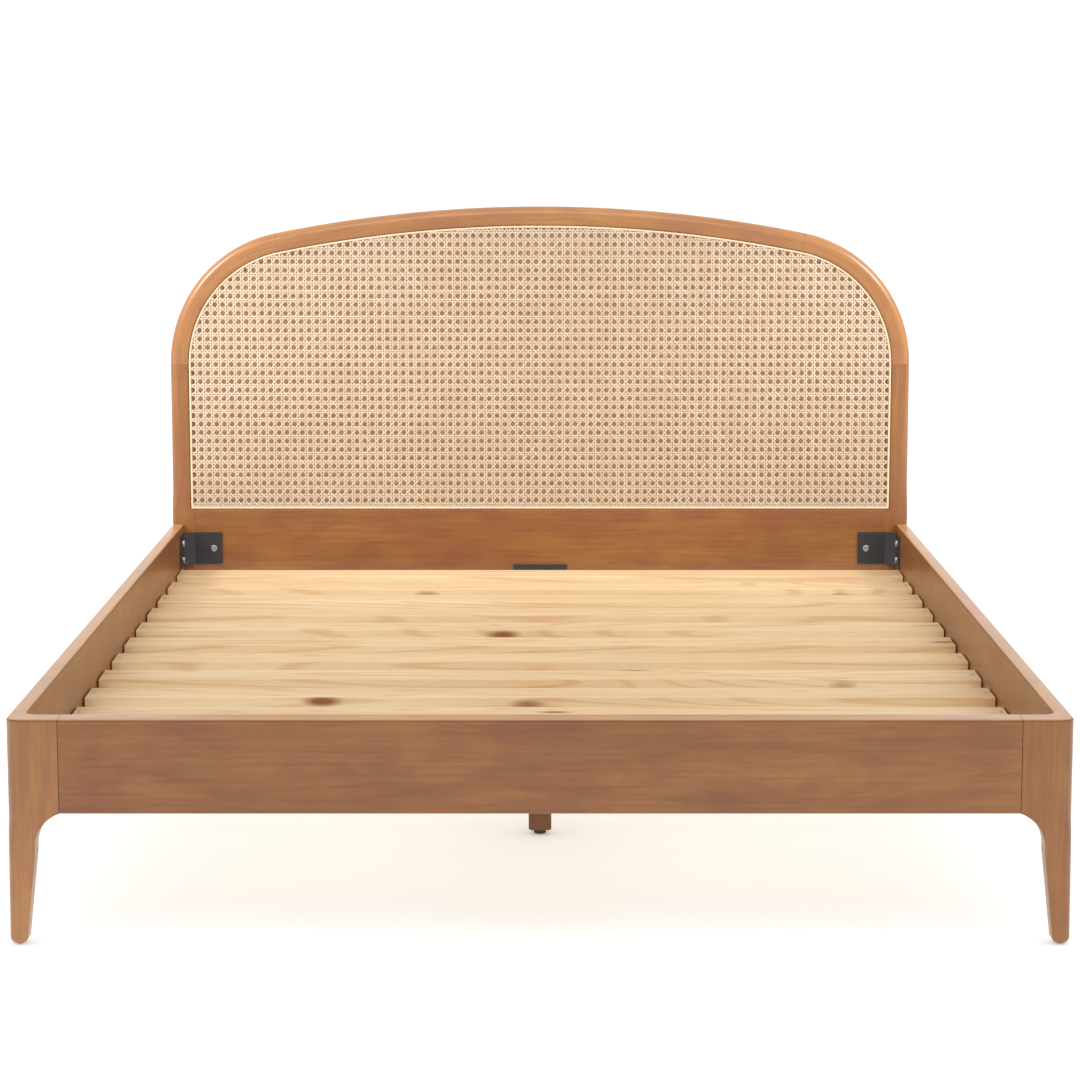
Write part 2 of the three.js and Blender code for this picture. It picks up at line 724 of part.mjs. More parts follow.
function addHeadboard() {
  const headboard = new THREE.Group();
  headboard.position.y = HEADBOARD_FACE_Y;
  bed.add(headboard);
  const { faceWidth, ledgeFront, ledgeBack, panelThickness, caneThickness, caneGap, groove } = HEADBOARD;
  const arch = curvedMember(archStations(ARCH_ANGLE - FIT / ARCH_RADIUS));
  const panel = openingSheet(faceWidth + FIT, ledgeBack, ledgeBack + panelThickness);
  const cane = openingSheet(groove.to + caneGap, ledgeFront - caneThickness, ledgeFront);
  addPair(headboard, "headboard_*_post", headboardPost(), MATERIALS.wood);
  addPair(headboard, "headboard_*_shoulder", curvedMember(shoulderStations), MATERIALS.wood);
  add(headboard, "headboard_top_arch", arch, MATERIALS.wood);
  add(headboard, "headboard_bottom_rail", headboardBottomRail(), MATERIALS.wood);
  add(headboard, "backing_panel", panel, MATERIALS.panelWood);
  add(headboard, "cane_panel", cane, MATERIALS.cane);
  add(headboard, "cane_spline", caneSpline(), MATERIALS.reed);
}

function addFootEnd() {
  const footEnd = new THREE.Group();
  footEnd.position.y = FOOT_FACE_Y;
  bed.add(footEnd);
  addPair(footEnd, "foot_*_leg", footLeg(), MATERIALS.wood);
  add(footEnd, "foot_rail", footRail(), MATERIALS.wood);
}

// A glide sits under the middle of each leg's lower end.
function addGlides() {
  const places = {
    foot: [HALF_WIDTH - FOOT_LEG.width.bottom / 2, FOOT_FACE_Y + FOOT_LEG.depth.bottom / 2],
    head: [HALF_WIDTH - POST_FOOT.width / 2, HEADBOARD_FACE_Y + POST_FOOT.depth / 2],
  };
  for (const [end, [x, y]] of Object.entries(places)) {
    add(bed, `glide_${end}_left`, glide(), MATERIALS.nylon).position.set(-x, y, 0);
    add(bed, `glide_${end}_right`, glide(), MATERIALS.nylon).position.set(x, y, 0);
  }
}

function addSlats() {
  const room = HEADBOARD_FACE_Y - FOOT_INNER_Y;
  const gap = (room - SLAT.count * SLAT.width) / (SLAT.count + 1);
  for (let i = 0; i < SLAT.count; i++) {
    const name = `slat_${String(i + 1).padStart(2, "0")}`;
    const mesh = add(bed, name, slat(), MATERIALS.pine);
    mesh.position.y = FOOT_INNER_Y + gap * (i + 1) + SLAT.width * (i + 0.5);
  }
}

function addCenterSupport() {
  const legPlaces = { front: -CENTER_LEG.spacing / 2, rear: CENTER_LEG.spacing / 2 };
  const bores = Object.values(legPlaces).map((y) => hangerBolt(2 * FIT, FIT).translate(0, y, 0));
  add(bed, "center_beam", carved(centerBeam(), ...bores), MATERIALS.pine);
  add(bed, "beam_hanger_foot", beamHanger(), MATERIALS.steel).position.y = FOOT_INNER_Y;
  const headHanger = add(bed, "beam_hanger_head", beamHanger(), MATERIALS.steel);
  headHanger.position.y = HEADBOARD_FACE_Y;
  headHanger.rotation.z = Math.PI;
  for (const [place, y] of Object.entries(legPlaces)) {
    const group = new THREE.Group();
    group.position.y = y;
    bed.add(group);
    add(group, `center_leg_${place}`, centerLeg(), MATERIALS.wood);
    add(group, `center_leg_bolt_${place}`, hangerBolt(), MATERIALS.zinc);
    add(group, `threaded_insert_${place}`, threadedInsert(), MATERIALS.zinc);
    add(group, `leveller_${place}`, leveller(), MATERIALS.nylon);
  }
}

// One bracket and its three bolts in an inside corner. Every corner is the right foot corner, mirrored
// across X, across Y or across both.
function addCorner(place, y, mirrorX, mirrorY) {
  const { crossX, sideOffset, middleZ } = BRACKET_BOLTS;
  const corner = new THREE.Group();
  corner.position.set(mirrorX * SIDE_INNER_X, y, 0);
  corner.scale.set(mirrorX, mirrorY, 1);
  bed.add(corner);
  add(corner, `corner_bracket_${place}`, cornerBracket(), MATERIALS.steel);
  const crossBolt = add(corner, `cross_bolt_${place}`, bolt(), MATERIALS.zinc);
  crossBolt.position.set(crossX - SIDE_INNER_X, STEEL, middleZ);
  crossBolt.rotation.x = -Math.PI / 2;
  for (const [level, step] of [["lower", -1], ["upper", 1]]) {
    const sideBolt = add(corner, `side_bolt_${level}_${place}`, bolt(), MATERIALS.zinc);
    sideBolt.position.set(-STEEL, sideOffset, middleZ + step * BRACKET_HOLES.spread);
    sideBolt.rotation.y = -Math.PI / 2;
  }
}

addHeadboard();
addFootEnd();
addPair(bed, "side_rail_*", sideRail(), MATERIALS.wood);
addPair(bed, "slat_ledge_*", slatLedge(), MATERIALS.pine);
addSlats();
addCenterSupport();
addGlides();
addCorner("foot_left", FOOT_INNER_Y, -1, 1);
addCorner("foot_right", FOOT_INNER_Y, 1, 1);
addCorner("head_left", HEADBOARD_FACE_Y, -1, -1);
addCorner("head_right", HEADBOARD_FACE_Y, 1, -1);

export default bed;
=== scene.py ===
"""A wooden bed frame with an arched cane headboard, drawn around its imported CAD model.

Everything is in metres in the CAD model's frame: X across the bed, +Y from the foot end to the headboard,
+Z up, with the floor at Z = 0.
"""

import math
import random

import bpy
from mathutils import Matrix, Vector


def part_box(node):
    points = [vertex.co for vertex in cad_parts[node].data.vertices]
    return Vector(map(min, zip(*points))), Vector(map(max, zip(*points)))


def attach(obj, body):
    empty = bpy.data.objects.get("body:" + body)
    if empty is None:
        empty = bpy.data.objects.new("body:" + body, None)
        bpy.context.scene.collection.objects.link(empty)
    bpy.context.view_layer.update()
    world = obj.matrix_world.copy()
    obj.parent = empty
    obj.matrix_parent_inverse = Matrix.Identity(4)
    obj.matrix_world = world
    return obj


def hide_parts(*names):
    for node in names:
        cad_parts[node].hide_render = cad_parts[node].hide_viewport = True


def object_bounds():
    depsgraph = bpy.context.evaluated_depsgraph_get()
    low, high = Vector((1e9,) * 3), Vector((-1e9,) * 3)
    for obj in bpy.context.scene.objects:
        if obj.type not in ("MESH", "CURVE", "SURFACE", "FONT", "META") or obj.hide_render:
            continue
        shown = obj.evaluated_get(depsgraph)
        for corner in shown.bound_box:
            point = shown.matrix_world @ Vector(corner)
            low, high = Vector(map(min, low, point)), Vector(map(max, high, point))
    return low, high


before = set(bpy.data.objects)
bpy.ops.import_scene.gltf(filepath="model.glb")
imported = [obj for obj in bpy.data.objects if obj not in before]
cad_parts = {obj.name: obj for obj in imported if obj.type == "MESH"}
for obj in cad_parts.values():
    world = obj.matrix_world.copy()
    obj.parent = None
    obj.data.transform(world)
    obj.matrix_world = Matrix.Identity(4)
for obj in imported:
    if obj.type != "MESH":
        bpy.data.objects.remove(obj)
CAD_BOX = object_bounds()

MM = 0.001
RNG = random.Random(7)
SIDES = ((-1, "left"), (1, "right"))

# ---- sizes read from the frame

HALF_WIDTH = CAD_BOX[1].x
FOOT_FACE_Y = CAD_BOX[0].y
BACK_Y = CAD_BOX[1].y
HEIGHT = CAD_BOX[1].z
RAIL_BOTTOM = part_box("foot_rail")[0].z
RAIL_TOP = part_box("foot_rail")[1].z
FOOT_INNER_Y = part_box("foot_rail")[1].y
SIDE_INNER_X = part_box("side_rail_right")[0].x
HEADBOARD_FACE_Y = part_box("headboard_right_post")[0].y
SPRING_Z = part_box("headboard_right_post")[1].z
MEMBER_WIDTH = HALF_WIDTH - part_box("headboard_right_post")[0].x
HEAD_RAIL_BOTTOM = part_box("headboard_bottom_rail")[0].z
HEAD_RAIL_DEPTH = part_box("headboard_bottom_rail")[1].y - HEADBOARD_FACE_Y
GLIDE_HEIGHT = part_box("glide_foot_left")[1].z

# The headboard's section: places across it are insets from the outline, and depths go back from its face.
FACE_WIDTH = 40 * MM
EDGE_RADIUS = 18 * MM
INNER_EDGE = 2.4 * MM
LEDGE_FRONT = 5 * MM
LEDGE_BACK = 12 * MM
GROOVE = (41.3 * MM, 44.7 * MM)
GROOVE_BOTTOM = 9 * MM
SPLINE_WIDTH = 5.4 * MM
SPLINE_STEPS = 14
SPLINE_FIT = 0.3 * MM
PANEL_FIT = 0.3 * MM
DEPTH = BACK_Y - HEADBOARD_FACE_Y

# The headboard's outline: a round shoulder above each post, and a wide arch that runs tangent to both.
CORNER_RADIUS = 291 * MM
CORNER_CENTER_X = HALF_WIDTH - CORNER_RADIUS
RISE = HEIGHT - SPRING_Z
ARCH_RADIUS = (RISE**2 + CORNER_CENTER_X**2 - CORNER_RADIUS**2) / (2 * (RISE - CORNER_RADIUS))
ARCH_CENTER_Z = HEIGHT - ARCH_RADIUS
ARCH_ANGLE = math.atan2(CORNER_CENTER_X, SPRING_Z - ARCH_CENTER_Z)
HEAD_RAIL_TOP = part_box("headboard_bottom_rail")[1].z - (MEMBER_WIDTH - FACE_WIDTH)
SHOULDER_STEPS = 40
ARCH_STEPS = 72
JOINT_GAP = 0.15 * MM

# Foot legs: LEG_WIDTH and LEG_DEPTH give a leg's taper and the fillet that sweeps out to its joint.
LEG_JOINT_WIDTH = 80 * MM
LEG_JOINT_DEPTH = 63 * MM
LEG_CORNER_RADIUS = 24 * MM
LEG_CORNER_SHARE = 0.4
LEG_NOTCH_RADIUS = 20 * MM
FILLET_REACH = 64 * MM
FILLET_STEPS = 24
LEG_WIDTH = {"top": 48 * MM, "bottom": 26.5 * MM, "fillet": 60 * MM, "drop": 56 * MM}
LEG_DEPTH = {"top": 46 * MM, "bottom": 33 * MM, "fillet": 18 * MM, "drop": 18 * MM}
DOME_RADIUS = 10 * MM

# Posts: the outer roundings start small above the side rail and grow to the frame's.
POST_FOOT = 35 * MM
POST_EDGE = 5 * MM
POST_EDGE_START = 20 * MM
POST_EDGE_RUN = 70 * MM

# Eased edges. A leg's edges are sharper at its joints than below them.
JOINT_EASE = 0.4 * MM
JOINT_LINE = 0.8 * MM
LEG_EASE = 3 * MM
LEG_EASE_RUN = 10 * MM
TOP_EASE = 3.5 * MM
HEAD_RAIL_EASE = 2 * MM
LEDGE_EASE = 2 * MM
SLAT_EASE = 2.5 * MM
BEAM_EASE = 3 * MM
PINE_END_EASE = 1 * MM

CENTER_LEG_EASE = 3.5 * MM
STEEL_EASE = 0.4 * MM

# The foot rail's tongues, the pockets in the centre legs, the bolts' shanks and the slats' screws.
TENON_LENGTH = 30 * MM
POCKET_RADIUS = 12.5 * MM
POCKET_DEPTH = 7.3 * MM
SHANK = 17 * MM
SCREW_INSET = 12 * MM

# How much lighter some boards are drawn than the foot rail's face. The arch and posts mix their own tone
# with painted light from above, the legs are drawn lighter, the left more than the right, and paler towards
# the floor as painted bounce light from it, and the centre legs are drawn darker.
ARCH_TONE_AND_PAINTED_LIGHT = 0.23
POST_TONE_AND_PAINTED_LIGHT = 0.08
LEG_TONE = {"left": 0.16, "right": 0.06}
LEG_FOOT_PAINTED_LIGHT = {"left": 0.24, "right": 0.12}
CENTER_LEG_TONE = -0.3
# A rounded top edge is painted paler above, a painted highlight and sheen, and has a fine dark line where it
# meets the face. Shares are of the rounding's height.
RIM_PAINTED_HIGHLIGHT = 0.7
RIM_HIGHLIGHT_SHARE = 0.4
RIM_LINE_TONE = -0.4
RIM_LINE_SHARE = 0.95
# Painted shade: how dark the inner edge of the headboard's frame is painted towards the ledge, and the ledge
# behind the cane.
EDGE_PAINTED_SHADE = 0.3
BEHIND_CANE_PAINTED_SHADE = 0.3

# Steps in a quarter turn of wide roundings, of a post's edges and end, of rounded edges and of eased ones.
WIDE_STEPS = 12
POST_STEPS = 8
EDGE_STEPS = 6
EASE_STEPS = 4

# Edges that turn by more degrees than this stay sharp.
SHARP_ANGLE = 32
TURNED_SHARP_ANGLE = 38
STRAND_SHARP_ANGLE = 60

SKY_STRENGTH = 1.12
FLOOR_REACH = 14.0
# The distance is from the foot end, the tilt in degrees below the level, and the lens and sensor in mm.
CAMERA_DISTANCE = 4.398
CAMERA_HEIGHT = 1.279
CAMERA_TILT = 8.44
CAMERA_LENS = 99.03
CAMERA_SENSOR = 36.0


# ---- mesh helpers


def arc_points(center_a, center_b, radius, start, end, steps):
    """Points on an arc, its angles in degrees."""
    angles = [math.radians(start + (end - start) * i / steps) for i in range(steps + 1)]
    return [(center_a + radius * math.cos(angle), center_b + radius * math.sin(angle)) for angle in angles]


def quarter_turn(steps):
    return [math.pi / 2 * i / steps for i in range(steps + 1)]


def blend(a, b, t):
    return a + (b - a) * max(0.0, min(1.0, t))


def smooth(t):
    t = max(0.0, min(1.0, t))
    return t * t * (3 - 2 * t)


def rounded_rectangle(a, b, radius, steps):
    """An outline between two (low, high) pairs, with its corners rounded."""
    (a0, a1), (b0, b1) = a, b
    return (
        arc_points(a0 + radius, b0 + radius, radius, 180, 270, steps)
        + arc_points(a1 - radius, b0 + radius, radius, 270, 360, steps)
        + arc_points(a1 - radius, b1 - radius, radius, 0, 90, steps)
        + arc_points(a0 + radius, b1 - radius, radius, 90, 180, steps)
    )


def grain_offset():
    """A random place in the wood, so that no two pieces share their figure."""
    return Vector((RNG.uniform(0, 40), RNG.uniform(0, 40), RNG.uniform(0, 40)))


def shade_smoothly(mesh, sharp):
    """Smooth shading, but for edges over the given angle and round each flat end."""
    mesh.shade_smooth()
    mesh.set_sharp_from_angle(angle=math.radians(sharp))
    for face in mesh.polygons:
        if face.loop_total > 4:
            for loop in face.loop_indices:
                mesh.edges[mesh.loops[loop].edge_index].use_edge_sharp = True


def mesh_piece(name, points, faces, material, grain=None, sharp=SHARP_ANGLE, **shades):
    """A mesh with its material. grain is each vertex's place in the wood, along its fibres first, and shades
    are other values for each vertex that materials read by name."""
    mesh = bpy.data.meshes.new(name)
    mesh.from_pydata([tuple(p) for p in points], [], faces)
    if grain is not None:
        layer = mesh.attributes.new("grain", "FLOAT_VECTOR", "POINT")
        layer.data.foreach_set("vector", [c for g in grain for c in g])
    for shade, values in shades.items():
        layer = mesh.attributes.new(shade, "FLOAT", "POINT")
        layer.data.foreach_set("value", values)
    mesh.materials.append(material)
    shade_smoothly(mesh, sharp)
    piece = bpy.data.objects.new(name, mesh)
    bpy.context.scene.collection.objects.link(piece)
    return piece


def outward(points, faces):
    """The faces of a closed mesh, all turned to face outwards."""
    volume = 0.0
    for face in faces:
        a, *others = [Vector(points[i]) for i in face]
        volume += sum(a.dot(b.cross(c)) for b, c in zip(others, others[1:]))
    return [tuple(reversed(face)) for face in faces] if volume < 0 else faces


def loft_mesh(rings, closed=False):
    """Points and faces of the skin over rings of equally many points. It has a face at each end unless it is
    closed on itself."""
    count = len(rings[0])
    points = [p for ring in rings for p in ring]
    faces = []
    for r in range(len(rings) if closed else len(rings) - 1):
        here, there = r * count, (r + 1) % len(rings) * count
        for i in range(count):
            j = (i + 1) % count
            faces.append((here + i, here + j, there + j, there + i))
    if not closed:
        faces.append(tuple(reversed(range(count))))
        faces.append(tuple(range((len(rings) - 1) * count, len(rings) * count)))
    return points, outward(points, faces)


def nodes_named(*starts):
    """The names of the CAD nodes that start in one of the given ways, in order."""
    return sorted(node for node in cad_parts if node.startswith(starts))


def finish_piece(piece, slot, *nodes, body="frame"):
    """Puts a piece on its body, and in place of the CAD nodes that it redraws. The slot is not used."""
    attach(piece, body)
    if nodes:
        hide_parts(*nodes)


def redraw(node, points, faces, material, slot, grain, **shades):
    """A finely drawn mesh in place of a CAD node."""
    piece = mesh_piece(node + "_fine", points, faces, material, grain=grain, **shades)
    finish_piece(piece, slot, node)


def bar_rings(along, x, y, z, radius, end_ease):
    """Rings of a straight bar along X or Y, with rounded long edges and slightly eased ends."""
    (start, end), across = (x, y) if along == "x" else (y, x)
    levels = [(start, end_ease), (start + end_ease, 0), (end - end_ease, 0), (end, end_ease)]
    rings = []
    for t, inset in levels:
        a, b = [(low + inset, high - inset) for low, high in (across, z)]
        outline = rounded_rectangle(a, b, radius - inset / 2, EDGE_STEPS)
        rings.append([(t, p, q) if along == "x" else (p, t, q) for p, q in outline])
    return rings


# The order of coordinates that puts each axis first.
FIBRES_FIRST = {"x": (0, 1, 2), "y": (1, 0, 2), "z": (2, 0, 1)}


def straight_grain(points, along):
    """Each point's place in the wood of a straight piece, with the fibres along the given axis."""
    offset = grain_offset()
    return [tuple(p[i] + o for i, o in zip(FIBRES_FIRST[along], offset)) for p in points]


# A rounded top edge: a painted highlight above, then a fine dark line.
def rim_highlight_and_line(below_top, radius):
    if below_top < RIM_HIGHLIGHT_SHARE * radius:
        return RIM_PAINTED_HIGHLIGHT
    return RIM_LINE_TONE if below_top < RIM_LINE_SHARE * radius else 0.0


def node_bar(node, along, radius, material, slot, end_ease, x_inset=0.0, is_rail=False):
    """A rounded bar in place of a CAD bar, with the same extents but for its tongues. A rail's top edge is
    painted paler, a painted highlight, and its ends are dark joint lines."""
    low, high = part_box(node)
    x, y, z = (low.x + x_inset, high.x - x_inset), (low.y, high.y), (low.z, high.z)
    rings = bar_rings(along, x, y, z, radius, end_ease)
    points, faces = loft_mesh(rings)
    shades = {}
    if is_rail:
        shades["crevice"] = [float(ring in (rings[0], rings[-1])) for ring in rings for _ in ring]
        # A painted highlight along the top edge.
        shades["tone"] = [rim_highlight_and_line(high.z - p[2], radius) for p in points]
    redraw(node, points, faces, material, slot, straight_grain(points, along), **shades)


def carve(piece, cutter):
    """Cuts the cutter out of the piece for good, and removes it."""
    cut = piece.modifiers.new("cut", "BOOLEAN")
    cut.operation, cut.solver, cut.object = "DIFFERENCE", "EXACT", cutter
    bpy.context.view_layer.update()
    graph = bpy.context.evaluated_depsgraph_get()
    mesh = bpy.data.meshes.new_from_object(piece.evaluated_get(graph), depsgraph=graph)
    piece.modifiers.clear()
    piece.data = mesh
    shade_smoothly(mesh, SHARP_ANGLE)
    bpy.data.objects.remove(cutter)


# ---- materials


class Nodes:
    """Adds nodes to a new material and links them."""

    def __init__(self, name):
        self.material = bpy.data.materials.new(name)
        self.material.use_nodes = True
        self.tree = self.material.node_tree
        self.shader = next(n for n in self.tree.nodes if n.type == "BSDF_PRINCIPLED")

    def set(self, socket, value):
        if isinstance(value, bpy.types.NodeSocket):
            self.tree.links.new(value, socket)
        else:
            socket.default_value = value

    def add(self, kind, output=0, settings=None, **inputs):
        """A new node's output. Inputs are given by name, or as i0, i1 and so on by number."""
        node = self.tree.nodes.new("ShaderNode" + kind)
        for key, value in (settings or {}).items():
            setattr(node, key, value)
        for key, value in inputs.items():
            self.set(node.inputs[int(key[1:]) if key[1:].isdigit() else key.replace("_", " ")], value)
        return node.outputs[output]

    def grain(self):
        return self.add("Attribute", "Vector", {"attribute_name": "grain"})

    def shade(self, attribute):
        return self.add("Attribute", "Fac", {"attribute_name": attribute})

    def scaled(self, place, along, across):
        """A place with its first coordinate, along the fibres, and the other two scaled."""
        scale = (along, across, across)
        return self.add("VectorMath", 0, {"operation": "MULTIPLY"}, i0=place, i1=scale)

    def noise(self, place, along, across, detail, roughness=0.55, distortion=0.0):
        """Noise with so many blobs to a metre along the fibres, and across them."""
        look = {"Detail": detail, "Roughness": roughness, "Distortion": distortion}
        return self.add("TexNoise", "Fac", None, Vector=self.scaled(place, along, across), Scale=1.0, **look)

    def math(self, operation, a, b=0.0):
        return self.add("Math", 0, {"operation": operation}, i0=a, i1=b)

    def line(self, value, slope, base):
        """The base plus the slope times the value."""
        return self.math("ADD", self.math("MULTIPLY", value, slope), base)

    def ramp(self, value, *stops):
        """A ramp between two (position, grey) stops."""
        node = self.tree.nodes.new("ShaderNodeValToRGB")
        for element, (position, grey) in zip(node.color_ramp.elements, stops):
            element.position = position
            element.color = (grey, grey, grey, 1)
        self.set(node.inputs[0], value)
        return node.outputs[0]

    def layer(self, colour, tint, value, start, end, strength):
        """Lays a tint over a colour as the value goes from start to end, and up to the given strength."""
        amount = self.ramp(value, *sorted(((start, 0.0), (end, 1.0))))
        return self.mix(self.math("MULTIPLY", amount, strength), colour, tint)

    def mix(self, factor, a, b):
        node = self.tree.nodes.new("ShaderNodeMix")
        node.data_type = "RGBA"
        self.set(node.inputs[0], factor)
        self.set(node.inputs[6], a if isinstance(a, bpy.types.NodeSocket) else (*a, 1))
        self.set(node.inputs[7], b if isinstance(b, bpy.types.NodeSocket) else (*b, 1))
        return node.outputs[2]

    def bump(self, height, distance, strength, normal=None):
        inputs = {"Strength": strength, "Distance": distance, "Height": height}
        if normal is not None:
            inputs["Normal"] = normal
        return self.add("Bump", 0, None, **inputs)

    def finish(self, colour, roughness, normal=None, **constants):
        self.set(self.shader.inputs["Base Color"], colour)
        self.set(self.shader.inputs["Roughness"], roughness)
        if normal is not None:
            self.set(self.shader.inputs["Normal"], normal)
        for key, value in constants.items():
            self.shader.inputs[key.replace("_", " ")].default_value = value
        return self.material


def srgb(red, green, blue):
    """Linear colour from an sRGB colour in 0 to 255."""
    shares = (red / 255, green / 255, blue / 255)
    return tuple(c / 12.92 if c <= 0.04045 else ((c + 0.055) / 1.055) ** 2.4 for c in shares)


# Where the wood is painted lighter it is also mixed towards a pale painted sheen, and dark joint lines and
# painted shade in recesses are a red brown.
PAINTED_SHEEN = srgb(226, 196, 140)
DARK_JOINT_AND_SHADE = srgb(72, 37, 22)


def wood(name, light, middle, dark, blush, roughness, coat):
    """Wood. Its fibres run along the first coordinate of the grain attribute, the tone attribute makes a
    place lighter or darker, with each board's own tone and with painted light, painted highlight and painted
    shade, and the crevice attribute marks dark joint lines and painted shade in recesses."""
    n = Nodes(name)
    place = n.grain()
    drift = n.noise(place, 3.0, 9.0, detail=2.0, roughness=0.45)
    blotches = n.noise(place, 10.0, 20.0, detail=3.0, roughness=0.5, distortion=0.4)
    bands = n.noise(place, 2.4, 30.0, detail=4.0, roughness=0.6, distortion=2.0)
    streaks = n.noise(place, 6.0, 190.0, detail=4.0, roughness=0.6)
    fibres = n.noise(place, 30.0, 900.0, detail=2.0, roughness=0.5)
    colour = n.mix(n.ramp(drift, (0.34, 0.0), (0.66, 1.0)), middle, light)
    colour = n.layer(colour, blush, blotches, 0.42, 0.7, 0.75)
    colour = n.layer(colour, dark, bands, 0.46, 0.74, 0.34)
    colour = n.layer(colour, dark, streaks, 0.58, 0.4, 0.26)
    colour = n.layer(colour, dark, fibres, 0.5, 0.3, 0.2)
    tone = n.shade("tone")
    colour = n.add("VectorMath", 0, {"operation": "SCALE"}, i0=colour, Scale=n.math("ADD", tone, 1.0))
    # Where the tone is painted lighter, a pale painted sheen is mixed in.
    colour = n.mix(n.math("MULTIPLY", n.math("MAXIMUM", tone, 0.0), 0.3), colour, PAINTED_SHEEN)
    # Dark joint lines, and painted shade in the headboard's recesses.
    colour = n.mix(n.math("MULTIPLY", n.shade("crevice"), 0.85), colour, DARK_JOINT_AND_SHADE)
    rough = n.line(streaks, 0.16, roughness - 0.06)
    normal = n.bump(streaks, 0.1 * MM, 0.3, n.bump(fibres, 0.05 * MM, 0.35))
    return n.finish(colour, rough, normal, Specular_IOR_Level=0.42, Coat_Weight=coat, Coat_Roughness=0.22)


def pine():
    """Planed softwood with growth-ring lines and scattered knots."""
    n = Nodes("pine")
    place = n.grain()
    wander = n.noise(place, 1.3, 9.0, detail=3.0)
    growth = n.noise(place, 0.5, 10.0, detail=1.0, roughness=0.4, distortion=0.3)
    rings = n.math("SINE", n.math("MULTIPLY", growth, 130.0))
    fibres = n.noise(place, 18.0, 700.0, detail=2.0)
    knots = n.add("TexVoronoi", "Distance", None, Vector=n.scaled(place, 3.2, 11.0), Scale=1.0)
    colour = n.mix(n.ramp(wander, (0.35, 0.0), (0.65, 1.0)), srgb(222, 190, 146), srgb(232, 206, 166))
    colour = n.layer(colour, srgb(196, 150, 98), rings, 0.45, 1.0, 0.42)
    colour = n.layer(colour, srgb(188, 146, 100), fibres, 0.55, 0.3, 0.2)
    colour = n.layer(colour, srgb(138, 88, 52), knots, 0.13, 0.05, 1.0)
    rough = n.line(wander, 0.12, 0.52)
    normal = n.bump(rings, 0.06 * MM, 0.3, n.bump(fibres, 0.05 * MM, 0.4))
    return n.finish(colour, rough, normal, Specular_IOR_Level=0.35)


def cane(name, light, dark, roughness):
    """Split cane: long shiny fibres, each strand with its own tone and now and then a darker stretch."""
    n = Nodes(name)
    place = n.grain()
    fibres = n.noise(place, 30.0, 1600.0, detail=2.0)
    drift = n.noise(place, 9.0, 60.0, detail=2.0)
    colour = n.mix(n.shade("tone"), light, dark)
    colour = n.layer(colour, dark, drift, 0.4, 0.75, 0.5)
    colour = n.layer(colour, srgb(176, 132, 84), fibres, 0.6, 0.3, 0.22)
    normal = n.bump(fibres, 0.04 * MM, 0.5)
    return n.finish(colour, n.line(drift, 0.2, roughness), normal, Specular_IOR_Level=0.5)


def metal(name, colour, metallic, roughness, mottling):
    """Sheet or turned metal: fine mottling in its colour, roughness and surface, to the given height."""
    n = Nodes(name)
    place = n.add("TexCoord", "Object")
    speckle = n.noise(place, 900.0, 900.0, detail=3.0)
    cloud = n.noise(place, 60.0, 60.0, detail=3.0)
    tint = n.mix(n.math("MULTIPLY", cloud, 0.35), colour, tuple(c * 0.6 for c in colour))
    rough = n.line(cloud, 0.25, roughness - 0.1)
    return n.finish(tint, rough, n.bump(speckle, mottling, 0.4), Metallic=metallic)


def plastic():
    """Moulded plastic, a little scuffed."""
    n = Nodes("foot_plastic")
    place = n.add("TexCoord", "Object")
    speckle = n.noise(place, 1200.0, 1200.0, detail=2.0)
    scuffs = n.noise(place, 140.0, 140.0, detail=4.0)
    colour = n.mix(scuffs, srgb(70, 52, 45), srgb(52, 38, 33))
    return n.finish(colour, n.line(scuffs, 0.3, 0.35), n.bump(speckle, 0.04 * MM, 0.5))


def floor_paint():
    """Nearly white paint that glows a little, so that the floor fades into the sky."""
    n = Nodes("floor_paint")
    cloud = n.noise(n.add("TexCoord", "Object"), 0.6, 0.6, detail=3.0)
    colour = n.mix(cloud, (0.86, 0.89, 0.92), (0.9, 0.93, 0.96))
    n.set(n.shader.inputs["Emission Color"], (0.92, 0.97, 1, 1))
    n.set(n.shader.inputs["Emission Strength"], 0.3)
    return n.finish(colour, n.line(cloud, 0.1, 0.75))


STAINED = wood(
    "stained_wood", light=srgb(153, 101, 51), middle=srgb(140, 88, 43), dark=srgb(102, 60, 32),
    blush=srgb(131, 75, 45), roughness=0.33, coat=0.16,
)
PANEL = wood(
    "panel_wood", light=srgb(226, 194, 156), middle=srgb(220, 186, 146), dark=srgb(198, 160, 122),
    blush=srgb(210, 172, 134), roughness=0.6, coat=0.0,
)
PINE = pine()
CANE = cane("cane", srgb(215, 197, 176), srgb(197, 173, 145), roughness=0.42)
REED = cane("reed", srgb(242, 222, 190), srgb(232, 202, 162), roughness=0.4)
BLACK_STEEL = metal("black_steel", srgb(44, 44, 47), metallic=0.0, roughness=0.5, mottling=0.05 * MM)
ZINC = metal("zinc_steel", srgb(190, 192, 196), metallic=1.0, roughness=0.38, mottling=0.03 * MM)
PLASTIC = plastic()


# ---- the headboard's outline


def arc_station(center_x, center_z, radius, angle):
    """A station: it turns an inset from the headboard's outline into (x, z), at one place along it."""
    return lambda inset: (
        center_x + (radius - inset) * math.sin(angle),
        center_z + (radius - inset) * math.cos(angle),
    )


def arc_stations(center_x, center_z, radius, start, end, steps):
    angles = [start + (end - start) * i / steps for i in range(steps + 1)]
    return [arc_station(center_x, center_z, radius, angle) for angle in angles]


def mirrored(station):
    return lambda inset: (-station(inset)[0], station(inset)[1])


def bottom_corner(inset):
    return HALF_WIDTH - inset, HEAD_RAIL_TOP - FACE_WIDTH + inset


def shoulder_stations(gap=0.0):
    """From the top of the right post to the joint with the arch, short of the joint by an angle."""
    end = ARCH_ANGLE + gap
    return arc_stations(CORNER_CENTER_X, SPRING_Z, CORNER_RADIUS, math.pi / 2, end, SHOULDER_STEPS)


